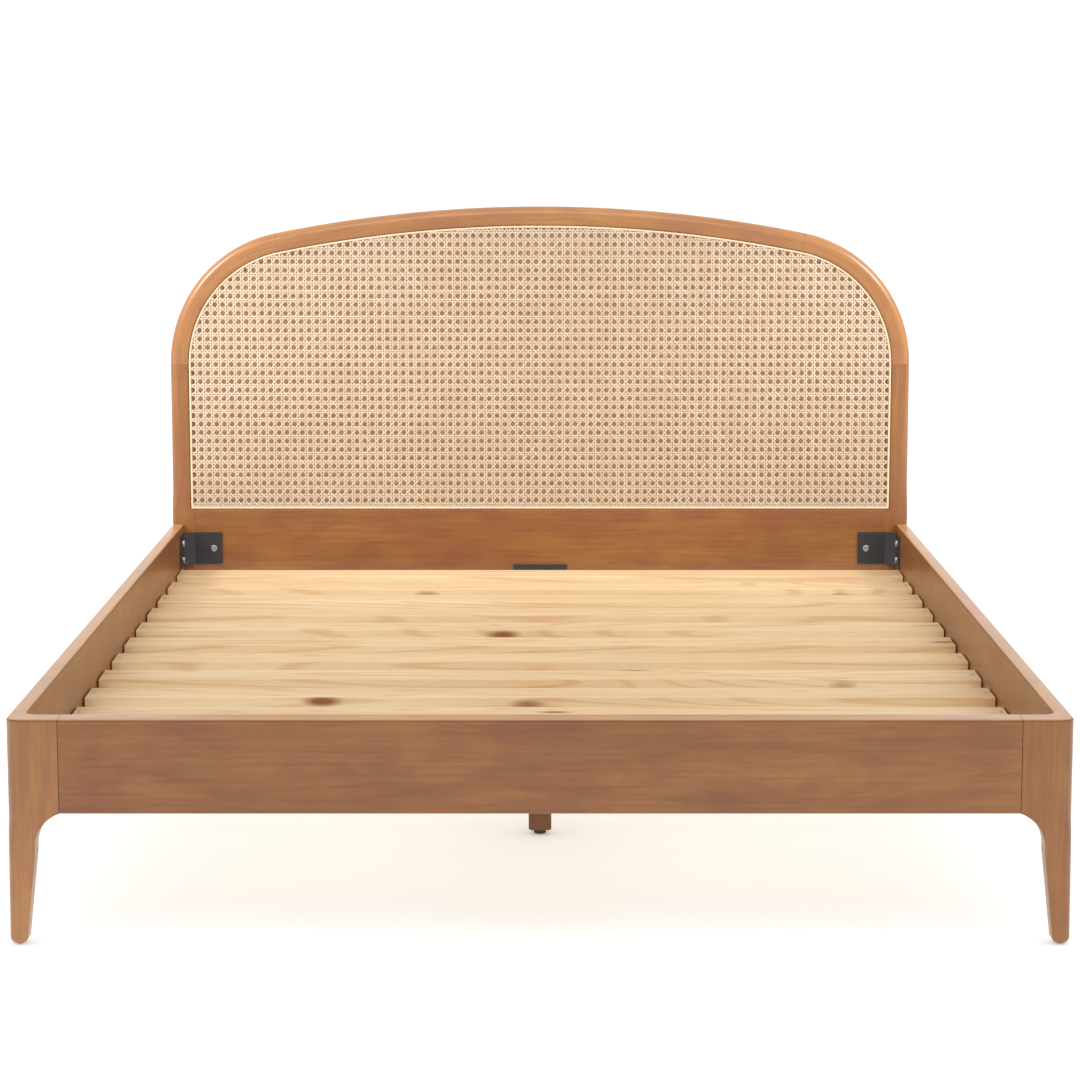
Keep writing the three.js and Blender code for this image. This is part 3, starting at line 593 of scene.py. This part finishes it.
def arch_stations(gap=0.0):
    end = ARCH_ANGLE - gap
    return arc_stations(0, ARCH_CENTER_Z, ARCH_RADIUS, end, -end, ARCH_STEPS)


def loop_stations():
    """All round the opening, from the lower right corner to the lower left one."""
    right = [bottom_corner] + shoulder_stations()
    return right + arch_stations()[1:-1] + [mirrored(station) for station in reversed(right)]


def inset_at(x, z):
    """How far a point of the headboard's plane lies inside the outline."""
    x = abs(x)
    from_bottom = z - (HEAD_RAIL_TOP - FACE_WIDTH)
    if z <= SPRING_Z:
        return min(HALF_WIDTH - x, from_bottom)
    if math.atan2(x, z - ARCH_CENTER_Z) <= ARCH_ANGLE:
        return ARCH_RADIUS - math.hypot(x, z - ARCH_CENTER_Z)
    if x <= CORNER_CENTER_X:
        return HALF_WIDTH - x
    return CORNER_RADIUS - math.hypot(x - CORNER_CENTER_X, z - SPRING_Z)


# ---- headboard frame


def inner_edge():
    """(inset, depth) points of the frame's inner edge from front to back, with the ledge and the groove."""
    front = arc_points(FACE_WIDTH - INNER_EDGE, INNER_EDGE, INNER_EDGE, 270, 360, EDGE_STEPS)
    back = arc_points(FACE_WIDTH - INNER_EDGE, DEPTH - INNER_EDGE, INNER_EDGE, 0, 90, EDGE_STEPS)
    ledge = [
        (FACE_WIDTH, LEDGE_FRONT),
        (GROOVE[0], LEDGE_FRONT),
        (GROOVE[0], GROOVE_BOTTOM),
        (GROOVE[1], GROOVE_BOTTOM),
        (GROOVE[1], LEDGE_FRONT),
        (MEMBER_WIDTH, LEDGE_FRONT),
        (MEMBER_WIDTH, LEDGE_BACK),
        (FACE_WIDTH, LEDGE_BACK),
    ]
    return front + ledge + back


def frame_section(radius=EDGE_RADIUS):
    """(inset, depth) points of the section of the frame around the cane, with the given outer roundings."""
    front = arc_points(radius, radius, radius, 180, 270, WIDE_STEPS)
    back = arc_points(radius, DEPTH - radius, radius, 90, 180, WIDE_STEPS)
    return front + inner_edge() + back


def painted_shade_at(inset, depth):
    """How much painted shade there is: more over the rounding of the inner edge, towards the ledge, and some
    on the ledge behind the cane.
    """
    if depth > LEDGE_BACK:
        return 0.0
    if inset >= GROOVE[1]:
        return BEHIND_CANE_PAINTED_SHADE
    return blend(0.0, EDGE_PAINTED_SHADE, (inset - FACE_WIDTH + INNER_EDGE) / INNER_EDGE)


def sweep(section, stations):
    """Rings of a section of (inset, depth) points that runs through the stations."""
    rings = []
    for station in stations:
        places = [(*station(inset), depth) for inset, depth in section]
        rings.append([(x, HEADBOARD_FACE_Y + depth, z) for x, z, depth in places])
    return rings


def sweep_grain(section, stations, offset, at=FACE_WIDTH / 2):
    """Fibres that follow the curve: the length along the section's middle comes first."""
    grain = []
    travelled = 0.0
    last = Vector(stations[0](at))
    for station in stations:
        here = Vector(station(at))
        travelled += (here - last).length
        last = here
        grain += [(travelled + offset.x, inset + offset.y, depth + offset.z) for inset, depth in section]
    return grain


def curved_members():
    """The arch and the shoulders, cut so that their figure runs on across the joints."""
    section = frame_section()
    shoulder = shoulder_stations(JOINT_GAP / CORNER_RADIUS)
    members = {
        "headboard_right_shoulder": shoulder,
        "headboard_top_arch": arch_stations(JOINT_GAP / ARCH_RADIUS),
        "headboard_left_shoulder": [mirrored(station) for station in reversed(shoulder)],
    }
    offset = grain_offset()
    for node, stations in members.items():
        points, faces = loft_mesh(sweep(section, stations))
        grain = sweep_grain(section, stations, offset)
        offset.x = grain[-1][0]
        # Painted shade along the frame's inner edge and behind the cane.
        crevice = [painted_shade_at(*spot) for spot in section] * len(stations)
        # The arch and shoulders are painted lighter: their own tone and painted light from above.
        tone = [ARCH_TONE_AND_PAINTED_LIGHT] * len(points)
        redraw(node, points, faces, STAINED, "stained_wood", grain, crevice=crevice, tone=tone)


def rounded_end(base, radius, steps):
    """(height, inset) levels of the rounded lower end of a leg, from its base height up."""
    return [
        (base + radius * (1 - math.cos(angle)), radius * (1 - math.sin(angle)))
        for angle in quarter_turn(steps)
    ]


def post_edge_radius(z):
    """A post's outer roundings are small beside the side rail, and grow to the frame's above it."""
    return blend(POST_EDGE, EDGE_RADIUS, smooth((z - RAIL_TOP - POST_EDGE_START) / POST_EDGE_RUN))


def lower_post_outline(z, inset):
    """(inset, depth) points of a post below the cane, where it is a plain section."""
    drop = max(0.0, RAIL_BOTTOM - z) / RAIL_BOTTOM
    inner = blend(MEMBER_WIDTH, POST_FOOT, drop) - inset
    back = blend(DEPTH, POST_FOOT, drop) - inset
    radius = post_edge_radius(z)
    ease = blend(JOINT_EASE, LEG_EASE, (RAIL_BOTTOM - z) / LEG_EASE_RUN)
    return (
        arc_points(inset + radius, inset + radius, radius, 180, 270, POST_STEPS)
        + arc_points(inner - ease, inset + ease, ease, 270, 360, EASE_STEPS)
        + arc_points(inner - ease, back - ease, ease, 0, 90, EASE_STEPS)
        + arc_points(inset + radius, back - radius, radius, 90, 180, POST_STEPS)
    )


def headboard_post(side, word):
    """A post in two lofts that meet at the lower edge of the cane: a plain one, and one with the ledge."""
    steps = 10
    turn_levels = [RAIL_TOP + POST_EDGE_START + POST_EDGE_RUN * i / steps for i in range(steps + 1)]
    lower = rounded_end(GLIDE_HEIGHT, DOME_RADIUS, POST_STEPS)
    lower += [(RAIL_BOTTOM * part, 0.0) for part in (0.3, 0.6, 0.9)]
    lower += [(z, 0.0) for z in (RAIL_BOTTOM - LEG_EASE_RUN, RAIL_BOTTOM, RAIL_TOP)]
    lower += [(z, 0.0) for z in turn_levels if z < HEAD_RAIL_TOP] + [(HEAD_RAIL_TOP, 0.0)]
    upper = [HEAD_RAIL_TOP] + [z for z in turn_levels if z > HEAD_RAIL_TOP] + [SPRING_Z - JOINT_EASE / 2]
    plain = [(z, lower_post_outline(z, inset)) for z, inset in lower]
    ledged = [(z, frame_section(post_edge_radius(z))) for z in upper]
    points, faces, crevice = [], [], []
    for outlines in (plain, ledged):
        rings = []
        for z, outline in outlines:
            rings.append([(side * (HALF_WIDTH - u), HEADBOARD_FACE_Y + v, z) for u, v in outline])
            # Painted shade along the ledge, where there is one.
            crevice += [painted_shade_at(*spot) if outlines is ledged else 0.0 for spot in outline]
        loft_points, loft_faces = loft_mesh(rings)
        faces += [tuple(i + len(points) for i in face) for face in loft_faces]
        points += loft_points
    node = f"headboard_{word}_post"
    # The post is painted lighter: its own tone and painted light from above.
    grain, tone = straight_grain(points, "z"), [POST_TONE_AND_PAINTED_LIGHT] * len(points)
    redraw(node, points, faces, STAINED, "stained_wood", grain, crevice=crevice, tone=tone)


def headboard_bottom_rail():
    """The lower cross member: its top edge has the same ledge and groove as the frame above it."""
    low, ease = HEAD_RAIL_BOTTOM - HEAD_RAIL_TOP + FACE_WIDTH, HEAD_RAIL_EASE
    ledge = [(inset, depth) for inset, depth in inner_edge() if depth <= LEDGE_BACK]
    section = (
        arc_points(low + ease, ease, ease, 180, 270, EASE_STEPS)
        + ledge
        + [(FACE_WIDTH, HEAD_RAIL_DEPTH)]
        + arc_points(low + ease, HEAD_RAIL_DEPTH - ease, ease, 90, 180, EASE_STEPS)
    )
    end = HALF_WIDTH - MEMBER_WIDTH
    stations = [lambda inset, x=x: (x, HEAD_RAIL_TOP - FACE_WIDTH + inset) for x in (-end, 0, end)]
    points, faces = loft_mesh(sweep(section, stations))
    # Painted shade along the ledge.
    crevice = [painted_shade_at(*spot) for spot in section] * len(stations)
    grain = straight_grain(points, "x")
    redraw("headboard_bottom_rail", points, faces, STAINED, "stained_wood", grain, crevice=crevice)


def headboard_frame():
    curved_members()
    for side, word in SIDES:
        headboard_post(side, word)
    headboard_bottom_rail()


# ---- backing panel, cane and its spline


def backing_panel():
    low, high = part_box("backing_panel")
    outline = [station(FACE_WIDTH + PANEL_FIT) for station in loop_stations()]
    points, faces = loft_mesh([[(x, y, z) for x, z in outline] for y in (low.y, high.y)])
    redraw("backing_panel", points, faces, PANEL, "panel_wood", straight_grain(points, "x"))


def cane_spline():
    """The rounded reed that holds the cane in its groove, with its tongue, all round the opening."""
    middle = (GROOVE[0] + GROOVE[1]) / 2
    tongue = (GROOVE[1] - GROOVE[0]) / 2 - SPLINE_FIT
    section = arc_points(middle, LEDGE_FRONT, SPLINE_WIDTH / 2, 180, 360, SPLINE_STEPS) + [
        (middle + tongue, LEDGE_FRONT),
        (middle + tongue, GROOVE_BOTTOM - SPLINE_FIT),
        (middle - tongue, GROOVE_BOTTOM - SPLINE_FIT),
        (middle - tongue, LEDGE_FRONT),
    ]
    stations = loop_stations()
    points, faces = loft_mesh(sweep(section, stations), closed=True)
    grain = sweep_grain(section, stations, grain_offset(), middle)
    redraw("cane_spline", points, faces, REED, "reed", grain)


# One cell of the weave holds a pair of upright strands, a pair of level strands and one diagonal each way.
# Each hole is the eight-sided space that they leave. Strands swing to front and back as they cross.
CELL_X = 17.1 * MM
CELL_Z = 18.7 * MM
HOLE_DROP = 101 * MM
FIRST_ROW_Z = HEIGHT - HOLE_DROP - CELL_Z / 2
PAIR_OFFSET = 2.3 * MM
STRAND_WIDTH = 2.95 * MM
DIAGONAL_WIDTH = 3.1 * MM
STRAND_THICKNESS = 0.8 * MM
SWING = 0.43 * MM
DIAGONAL_SWING = 0.85 * MM
# How far a diagonal stays swung past a crossing, as a share of a cell, and how far from a cell's middle a
# straight strand runs flat.
DIAGONAL_CROSSING = 0.18
FLAT_REACH = 3.2 * MM
KNOT_CLEARANCE = 0.8 * MM
WIDTH_RANGE = (0.93, 1.05)
WANDER = 0.08 * MM
CANE_EDGE = 46.4 * MM
CANE_GAP = 0.1 * MM
CANE_PLANE_Y = HEADBOARD_FACE_Y + LEDGE_FRONT - DIAGONAL_SWING - STRAND_THICKNESS / 2 - CANE_GAP
# A strand's section as shares of its width and thickness: flat behind, and narrower in front.
STRAND_SECTION = ((-0.5, 0.5), (-0.3, -0.5), (0.3, -0.5), (0.5, 0.5))


class Weave:
    """Collects the strands of one direction as one mesh."""

    def __init__(self):
        self.points, self.faces, self.grain, self.tone = [], [], [], []

    def add_strand(self, start, end, knots, width):
        """A flat strand from start to end, (x, z) points. knots holds (place along it, depth) pairs."""
        (x0, z0), (x1, z1) = start, end
        length = math.hypot(x1 - x0, z1 - z0)
        along = ((x1 - x0) / length, (z1 - z0) / length)
        across = (-along[1], along[0])
        offset, tone, first = grain_offset(), RNG.random(), len(self.points)
        width *= RNG.uniform(*WIDTH_RANGE)
        for place, depth in knots:
            sideways = RNG.uniform(-WANDER, WANDER)
            for u, v in STRAND_SECTION:
                reach = u * width + sideways
                x = x0 + along[0] * place + across[0] * reach
                z = z0 + along[1] * place + across[1] * reach
                self.points.append((x, CANE_PLANE_Y + depth + v * STRAND_THICKNESS, z))
                self.grain.append((place + offset.x, reach + offset.y, v * STRAND_THICKNESS + offset.z))
                self.tone.append(tone)
        sides = len(STRAND_SECTION)
        last = first + sides * (len(knots) - 1)
        for here in range(first, last, sides):
            for i in range(sides):
                j = (i + 1) % sides
                self.faces.append((here + i, here + j, here + sides + j, here + sides + i))
        self.faces.append(tuple(reversed(range(first, first + sides))))
        self.faces.append(tuple(range(last, last + sides)))

    def piece(self, name, *nodes):
        faces = outward(self.points, self.faces)
        shades = {"grain": self.grain, "tone": self.tone}
        piece = mesh_piece(name, self.points, faces, CANE, sharp=STRAND_SHARP_ANGLE, **shades)
        finish_piece(piece, "cane", *nodes)


def clipped(origin, direction):
    """The stretch of a line that lies inside the cane's edge, as two distances from its origin."""
    reach = 2 * HALF_WIDTH
    steps, halvings = 400, 24

    def is_inside(t):
        return inset_at(origin[0] + direction[0] * t, origin[1] + direction[1] * t) > CANE_EDGE

    def edge(within, outside):
        for _ in range(halvings):
            middle = (within + outside) / 2
            if is_inside(middle):
                within = middle
            else:
                outside = middle
        return within

    inside = [t for t in (reach * (2 * i / steps - 1) for i in range(steps + 1)) if is_inside(t)]
    if len(inside) < 2:
        return None

    step = 2 * reach / steps
    return edge(inside[0], inside[0] - step), edge(inside[-1], inside[-1] + step)


def woven_knots(start, end, cell, pattern):
    """Knots between two places on a strand: the pattern's (place in the cell, depth) pairs, repeated."""
    knots = [(start, 0.0)]
    for k in range(math.floor(start / cell) - 1, math.ceil(end / cell) + 2):
        for place, depth in pattern:
            t = (k + place) * cell
            if start + KNOT_CLEARANCE < t < end - KNOT_CLEARANCE:
                knots.append((t, depth))
    knots.append((end, 0.0))
    return [(t - start, depth) for t, depth in knots]


def strand(weave, origin, direction, cell, pattern, width):
    """One strand along a line, cut at the cane's edge, if the line meets the cane."""
    stretch = clipped(origin, direction)
    if stretch is None:
        return
    start, end = [tuple(o + d * t for o, d in zip(origin, direction)) for t in stretch]
    weave.add_strand(start, end, woven_knots(*stretch, cell, pattern), width)


def straight_family(weave, level):
    """Pairs of level strands, or of upright ones, each over one crossing strand and under the next."""
    along, across = (CELL_X, CELL_Z) if level else (CELL_Z, CELL_X)
    direction = (1.0, 0.0) if level else (0.0, 1.0)
    count = math.ceil(HEIGHT / across)
    crossing = PAIR_OFFSET / along
    rest = 0.5 - FLAT_REACH / along
    for k in range(-count, count + 1):
        for member in (-1, 1):
            reach = k * across + member * PAIR_OFFSET
            origin = (0.0, FIRST_ROW_Z + reach) if level else (reach, FIRST_ROW_Z)
            front = SWING * member * (-1 if level else 1)
            pattern = [(-crossing, front), (crossing, -front), (rest, 0.0), (1 - rest, 0.0)]
            strand(weave, origin, direction, along, pattern, STRAND_WIDTH)


def diagonal_family(weave, slope):
    """Diagonal strands, which cross each other halfway between the crossings of the pairs. Those that rise
    to the right go over the upright pairs and under the level ones, and the others the other way."""
    diagonal = math.hypot(CELL_X, CELL_Z)
    direction = (CELL_X / diagonal, slope * CELL_Z / diagonal)
    count = math.ceil(2 * HEIGHT / CELL_Z)
    crossing, front = DIAGONAL_CROSSING, -DIAGONAL_SWING * slope
    pattern = [(-crossing, front), (crossing, front), (0.5 - crossing, -front), (0.5 + crossing, -front)]
    for k in range(-count, count + 1):
        origin = (0.0, FIRST_ROW_Z + (k + 0.5) * CELL_Z)
        strand(weave, origin, direction, diagonal, pattern, DIAGONAL_WIDTH)


def cane_weave():
    for name, family, way, nodes in (
        ("cane_upright_strands", straight_family, False, ["cane_panel"]),
        ("cane_level_strands", straight_family, True, []),
        ("cane_rising_strands", diagonal_family, 1, []),
        ("cane_falling_strands", diagonal_family, -1, []),
    ):
        weave = Weave()
        family(weave, way)
        weave.piece(name, *nodes)


# ---- foot legs and rails


def tapered_size(z, size, at_joint):
    """A leg's size at height z: a straight taper that sweeps out below the rail in a round fillet."""
    slope = (size["top"] - size["bottom"]) / RAIL_BOTTOM
    tilt = math.atan(slope)
    fillet = size["fillet"]
    center_z = RAIL_BOTTOM - size["drop"]
    tangent_z = center_z - fillet * math.sin(tilt)
    if z <= tangent_z:
        return size["bottom"] + slope * z
    center = size["bottom"] + slope * tangent_z + fillet * math.cos(tilt)
    reach = math.sqrt(max(0.0, fillet**2 - (z - center_z) ** 2))
    return at_joint if z >= RAIL_BOTTOM else min(at_joint, center - reach)


def foot_leg_ring(side, z, inset, is_l):
    """A leg's outline at height z, an L beside the rails and plain below them, and its crevice values."""
    shrink = 0 if is_l else inset
    inner = tapered_size(z, LEG_WIDTH, LEG_JOINT_WIDTH) - shrink
    back = tapered_size(z, LEG_DEPTH, LEG_JOINT_DEPTH) - shrink
    ease = JOINT_LINE if is_l else blend(JOINT_LINE, LEG_EASE, (RAIL_BOTTOM - z) / LEG_EASE_RUN)
    arm_depth = FOOT_INNER_Y - FOOT_FACE_Y - inset
    arm_width = HALF_WIDTH - SIDE_INNER_X - inset
    notch = LEG_NOTCH_RADIUS + inset
    radius = min(LEG_CORNER_RADIUS, (inner - inset) * LEG_CORNER_SHARE)
    if is_l:
        corner = (
            [(inner, arm_depth)]
            + arc_points(arm_width + notch, arm_depth + notch, notch, 270, 180, WIDE_STEPS)
            + [(arm_width, back)]
        )
    else:
        corner = (
            [(inner, min(arm_depth, (inset + back) / 2))]
            + arc_points(inner - ease, back - ease, ease, 0, 90, WIDE_STEPS)
            + [(min(arm_width, (inset + inner) / 2), back)]
        )
    outline = (
        arc_points(inset + radius, inset + radius, radius, 180, 270, WIDE_STEPS)
        + arc_points(inner - ease, inset + ease, ease, 270, 360, EASE_STEPS)
        + corner
        + arc_points(inset + ease, back - ease, ease, 90, 180, EASE_STEPS)
    )
    points = [(side * (HALF_WIDTH - u), FOOT_FACE_Y + v, z) for u, v in outline]
    at_rail = inner - JOINT_LINE / 2
    at_side_rail = back - JOINT_LINE / 2
    in_joint = is_l and z < RAIL_TOP
    crevice = [float(in_joint and (u > at_rail or v > at_side_rail)) for u, v in outline]
    return points, crevice


def leg_tone(word, z):
    """A leg is painted paler towards the floor, painted bounce light from it, and its top edge has the
    rails' painted highlight and fine dark line.
    """
    if z > RAIL_TOP - RIM_LINE_SHARE * TOP_EASE:
        return rim_highlight_and_line(RAIL_TOP - z, TOP_EASE)
    return LEG_TONE[word] + LEG_FOOT_PAINTED_LIGHT[word] * max(0.0, 1 - z / RAIL_BOTTOM)


def foot_leg(side, word):
    levels = [(z, inset, False) for z, inset in rounded_end(GLIDE_HEIGHT, DOME_RADIUS, POST_STEPS)]
    levels += [(RAIL_BOTTOM * part, 0.0, False) for part in (0.2, 0.4, 0.6)]
    for angle in quarter_turn(FILLET_STEPS):
        levels.append((RAIL_BOTTOM - JOINT_EASE - FILLET_REACH * (1 - math.sin(angle)), 0.0, False))
    levels.append((RAIL_BOTTOM, 0.0, True))
    for angle in quarter_turn(EDGE_STEPS):
        inset = TOP_EASE * (1 - math.cos(angle))
        levels.append((RAIL_TOP - TOP_EASE * (1 - math.sin(angle)), inset, True))
    rings, crevice = [], []
    for z, inset, is_l in levels:
        ring, shade = foot_leg_ring(side, z, inset, is_l)
        rings.append(ring)
        crevice += shade
    points, faces = loft_mesh(rings)
    node = f"foot_{word}_leg"
    grain, tone = straight_grain(points, "z"), [leg_tone(word, z) for _, _, z in points]
    redraw(node, points, faces, STAINED, "stained_wood", grain, crevice=crevice, tone=tone)


def rails():
    rail = {"end_ease": JOINT_LINE, "is_rail": True}
    node_bar("foot_rail", "x", TOP_EASE, STAINED, "stained_wood", x_inset=TENON_LENGTH, **rail)
    for _, word in SIDES:
        node_bar(f"side_rail_{word}", "y", TOP_EASE, STAINED, "stained_wood", **rail)
        node_bar(f"slat_ledge_{word}", "y", LEDGE_EASE, PINE, "pine", end_ease=PINE_END_EASE)


# ---- slats, beam and centre legs


SLATS = [node for node in nodes_named("slat_") if "ledge" not in node]


def slats():
    for node in SLATS:
        node_bar(node, "x", SLAT_EASE, PINE, "pine", end_ease=PINE_END_EASE)
    node_bar("center_beam", "y", BEAM_EASE, PINE, "pine", end_ease=PINE_END_EASE)


def turned(name, profile, material, sides=40, shape=None):
    """A turned piece about the Z axis, flat at both ends. profile holds (radius, height) points, and shape
    may change a radius with its angle."""
    rings = []
    for radius, height in profile:
        ring = []
        for i in range(sides):
            angle = 2 * math.pi * i / sides
            reach = shape(radius, height, angle) if shape else radius
            ring.append((reach * math.cos(angle), reach * math.sin(angle), height))
        rings.append(ring)
    points, faces = loft_mesh(rings)
    return mesh_piece(name, points, faces, material, sharp=TURNED_SHARP_ANGLE)


def in_mm(points):
    return [(radius * MM, height * MM) for radius, height in points]


def thread(root, start, count):
    """(radius, height) points of a thread, in mm: every second one lies on its crest."""
    crest, rise = 4.0, 0.6
    return [(crest if i % 2 else root, start + rise * i) for i in range(count)]


def center_support():
    """Square centre legs with rounded feet, each with a pocket below for its leveller."""
    ease = CENTER_LEG_EASE
    for place in ("front", "rear"):
        low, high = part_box(f"center_leg_{place}")
        half = (high.x - low.x) / 2
        middle = ((low.x + high.x) / 2, (low.y + high.y) / 2)
        levels = rounded_end(low.z, ease, EDGE_STEPS) + [((low.z + high.z) / 2, 0.0), (high.z, 0.0)]
        rings = []
        for z, inset in levels:
            side = (inset - half, half - inset)
            outline = rounded_rectangle(side, side, ease, steps=5)
            rings.append([(middle[0] + x, middle[1] + y, z) for x, y in outline])
        points, faces = loft_mesh(rings)
        grain, tone = straight_grain(points, "z"), [CENTER_LEG_TONE] * len(points)
        piece = mesh_piece(f"center_leg_{place}_fine", points, faces, STAINED, grain=grain, tone=tone)
        wall = [(POCKET_RADIUS, -POCKET_DEPTH), (POCKET_RADIUS, POCKET_DEPTH)]
        pocket = turned("pocket_cutter", wall, STAINED)
        pocket.location = (*middle, low.z)
        carve(piece, pocket)
        finish_piece(piece, "stained_wood", f"center_leg_{place}")
        leveller(place, middle)


def leveller(place, middle):
    """The moulded foot: a round pad with a ribbed edge on a threaded stem."""
    pad = [(2, 0), (7.5, 0), (9.3, 0.5), (10.5, 1.5), (11, 3), (11, 8), (10.5, 8.7), (9.8, 9), (4, 9)]
    stem = thread(root=3.5, start=9.4, count=46) + [(3, 38), (1, 38)]
    profile = in_mm(pad + stem)
    ribs, rib_depth = 24, 0.12 * MM

    def ribbed(radius, height, angle):
        if not (3 * MM < height < 8.5 * MM and radius > 10 * MM):
            return radius
        return radius - rib_depth * (1 + math.cos(ribs * angle))

    piece = turned(f"leveller_{place}_fine", profile, PLASTIC, 96, ribbed)
    piece.location = (*middle, 0)
    finish_piece(piece, "foot_plastic", f"leveller_{place}", body=f"{place}_foot")


def glides():
    """A round glide with a rounded lower edge under each corner leg."""
    for node in nodes_named("glide_"):
        low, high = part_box(node)
        radius, height = (high.x - low.x) / 2, high.z
        profile = [(radius * 0.4, 0), (radius - 0.8 * MM, 0), (radius - 0.2 * MM, 0.3 * MM)]
        profile += [(radius, 0.9 * MM), (radius, height), (radius * 0.4, height)]
        piece = turned(node + "_fine", profile, PLASTIC)
        piece.location = ((low.x + high.x) / 2, (low.y + high.y) / 2, 0)
        finish_piece(piece, "foot_plastic", node)


# ---- brackets, bolts and screws


def hexagonal(radius, angle):
    """The distance to the edge of a hexagon whose inner circle has the given radius."""
    turn = angle % (math.pi / 3) - math.pi / 6
    return radius / math.cos(turn)


def bolts():
    """Socket-head bolts: a chamfered head with a hexagonal socket, on a threaded shank. Cross bolts lie
    along Y and side bolts along X, with their heads towards the middle of the bed."""
    shank = [(1, -17), (3, -17)] + thread(root=3.55, start=-16.6, count=28)
    head = [(4, 0), (6.6, 0), (7, 0.4), (7, 3.6), (6.7, 4.2), (6.1, 4.5)]
    socket = [(3.6, 4.5), (3.1, 4.4), (3, 1.6), (1, 1.6)]
    profile = in_mm(shank + head + socket)

    def socketed(radius, height, angle):
        is_socket = height > 1 * MM and radius < 3.2 * MM
        return hexagonal(radius, angle) if is_socket else radius

    for node in nodes_named("cross_bolt", "side_bolt"):
        low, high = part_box(node)
        middle = (low + high) / 2
        axis = 1 if node.startswith("cross") else 0
        facing = 1 if middle[axis] < 0 else -1
        seat = middle.copy()
        seat[axis] = low[axis] + SHANK if facing > 0 else high[axis] - SHANK
        turn = facing * math.pi / 2
        piece = turned(node + "_fine", profile, ZINC, 48, socketed)
        piece.location = seat
        piece.rotation_euler = (-turn, 0, 0) if axis else (0, turn, 0)
        finish_piece(piece, "zinc_steel", node)


def crossed(radius, angle):
    """The distance to the edge of a cross-shaped recess: shorter between its arms."""
    between, arm_edge, fade = 0.36, 0.4, 0.25
    turn = angle % (math.pi / 2) - math.pi / 4
    return radius * blend(between, 1.0, smooth((abs(turn) - arm_edge) / fade))


def slat_screws():
    """A countersunk screw in each end of each slat."""
    head = [(0.5, -0.6), (3.8, -0.6), (4.0, 0.15), (3.6, 0.3)]
    recess = [(2.3, 0.35), (2.1, 0.3), (1.5, -0.3), (0.3, -0.3)]
    profile = in_mm(head + recess)

    def recessed(radius, height, angle):
        return crossed(radius, angle) if 1 * MM < radius < 2.2 * MM else radius

    for node in SLATS:
        low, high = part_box(node)
        for side, word in SIDES:
            piece = turned(f"{node}_screw_{word}", profile, ZINC, 32, recessed)
            piece.location = (side * (SIDE_INNER_X - SCREW_INSET), (low.y + high.y) / 2, high.z)
            piece.rotation_euler = (0, 0, RNG.uniform(0, math.pi))
            finish_piece(piece, "zinc_steel")


def carried_over_nodes():
    """CAD pieces whose shape is right keep it, with eased edges and a finished material."""
    finishes = {
        "corner_bracket": BLACK_STEEL,
        "beam_hanger": BLACK_STEEL,
        "center_leg_bolt": ZINC,
        "threaded_insert": ZINC,
    }
    for start, material in finishes.items():
        for node in nodes_named(start):
            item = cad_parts[node]
            item.data.materials.clear()
            item.data.materials.append(material)
            ease = item.modifiers.new("eased_edges", "BEVEL")
            ease.width = STEEL_EASE
            ease.segments = 2
            ease.limit_method = "ANGLE"


# ---- room, light and camera


def studio():
    """A wide pale floor under an even white sky."""
    mesh = bpy.data.meshes.new("studio_floor")
    corners = [(x * FLOOR_REACH, y * FLOOR_REACH, 0) for x, y in ((-1, -1), (1, -1), (1, 1), (-1, 1))]
    mesh.from_pydata(corners, [], [(0, 1, 2, 3)])
    mesh.materials.append(floor_paint())
    floor = bpy.data.objects.new("studio_floor", mesh)
    bpy.context.scene.collection.objects.link(floor)
    world = bpy.data.worlds.new("studio_world")
    world.use_nodes = True
    sky = world.node_tree.nodes["Background"]
    sky.inputs["Color"].default_value = (1, 1, 1, 1)
    sky.inputs["Strength"].default_value = SKY_STRENGTH
    bpy.context.scene.world = world
    bpy.context.scene.view_settings.view_transform = "Standard"


def softbox(name, location, target, size, watts, spread):
    """A flat lamp that faces its target. The smaller its spread in degrees, the narrower its beam."""
    lamp = bpy.data.lights.new(name, "AREA")
    lamp.shape = "RECTANGLE"
    lamp.size, lamp.size_y = size
    lamp.energy = watts
    lamp.spread = math.radians(spread)
    item = bpy.data.objects.new(name, lamp)
    item.location = location
    item.rotation_euler = (Vector(target) - Vector(location)).to_track_quat("-Z", "Y").to_euler()
    bpy.context.scene.collection.objects.link(item)


def lights():
    """A wide softbox over the bed, and one each side that puts a sheen on the headboard's shoulder."""
    softbox("headboard_softbox", (-0.2, -0.9, 2.6), (0.0, 1.0, 0.75), size=(2.0, 1.0), watts=3.8, spread=70)
    for side, word, watts in ((-1, "left", 3.2), (1, "right", 2.7)):
        target = (side * 0.78, 1.02, 0.9)
        softbox(f"{word}_softbox", (side * 2.3, 0.0, 2.1), target, size=(0.3, 0.7), watts=watts, spread=40)


def camera():
    """In front of the foot end, looking slightly down, with the whole bed in view."""
    lens = bpy.data.cameras.new("camera")
    lens.lens = CAMERA_LENS
    lens.sensor_width = CAMERA_SENSOR
    item = bpy.data.objects.new("camera", lens)
    item.location = (0.0, FOOT_FACE_Y - CAMERA_DISTANCE, CAMERA_HEIGHT)
    item.rotation_euler = (math.radians(90 - CAMERA_TILT), 0, 0)
    bpy.context.scene.collection.objects.link(item)
    bpy.context.scene.camera = item


# ---- the whole scene

headboard_frame()
backing_panel()
cane_spline()
cane_weave()
for leg_side, leg_word in SIDES:
    foot_leg(leg_side, leg_word)
rails()
slats()
center_support()
glides()
bolts()
slat_screws()
carried_over_nodes()
studio()
lights()
camera()
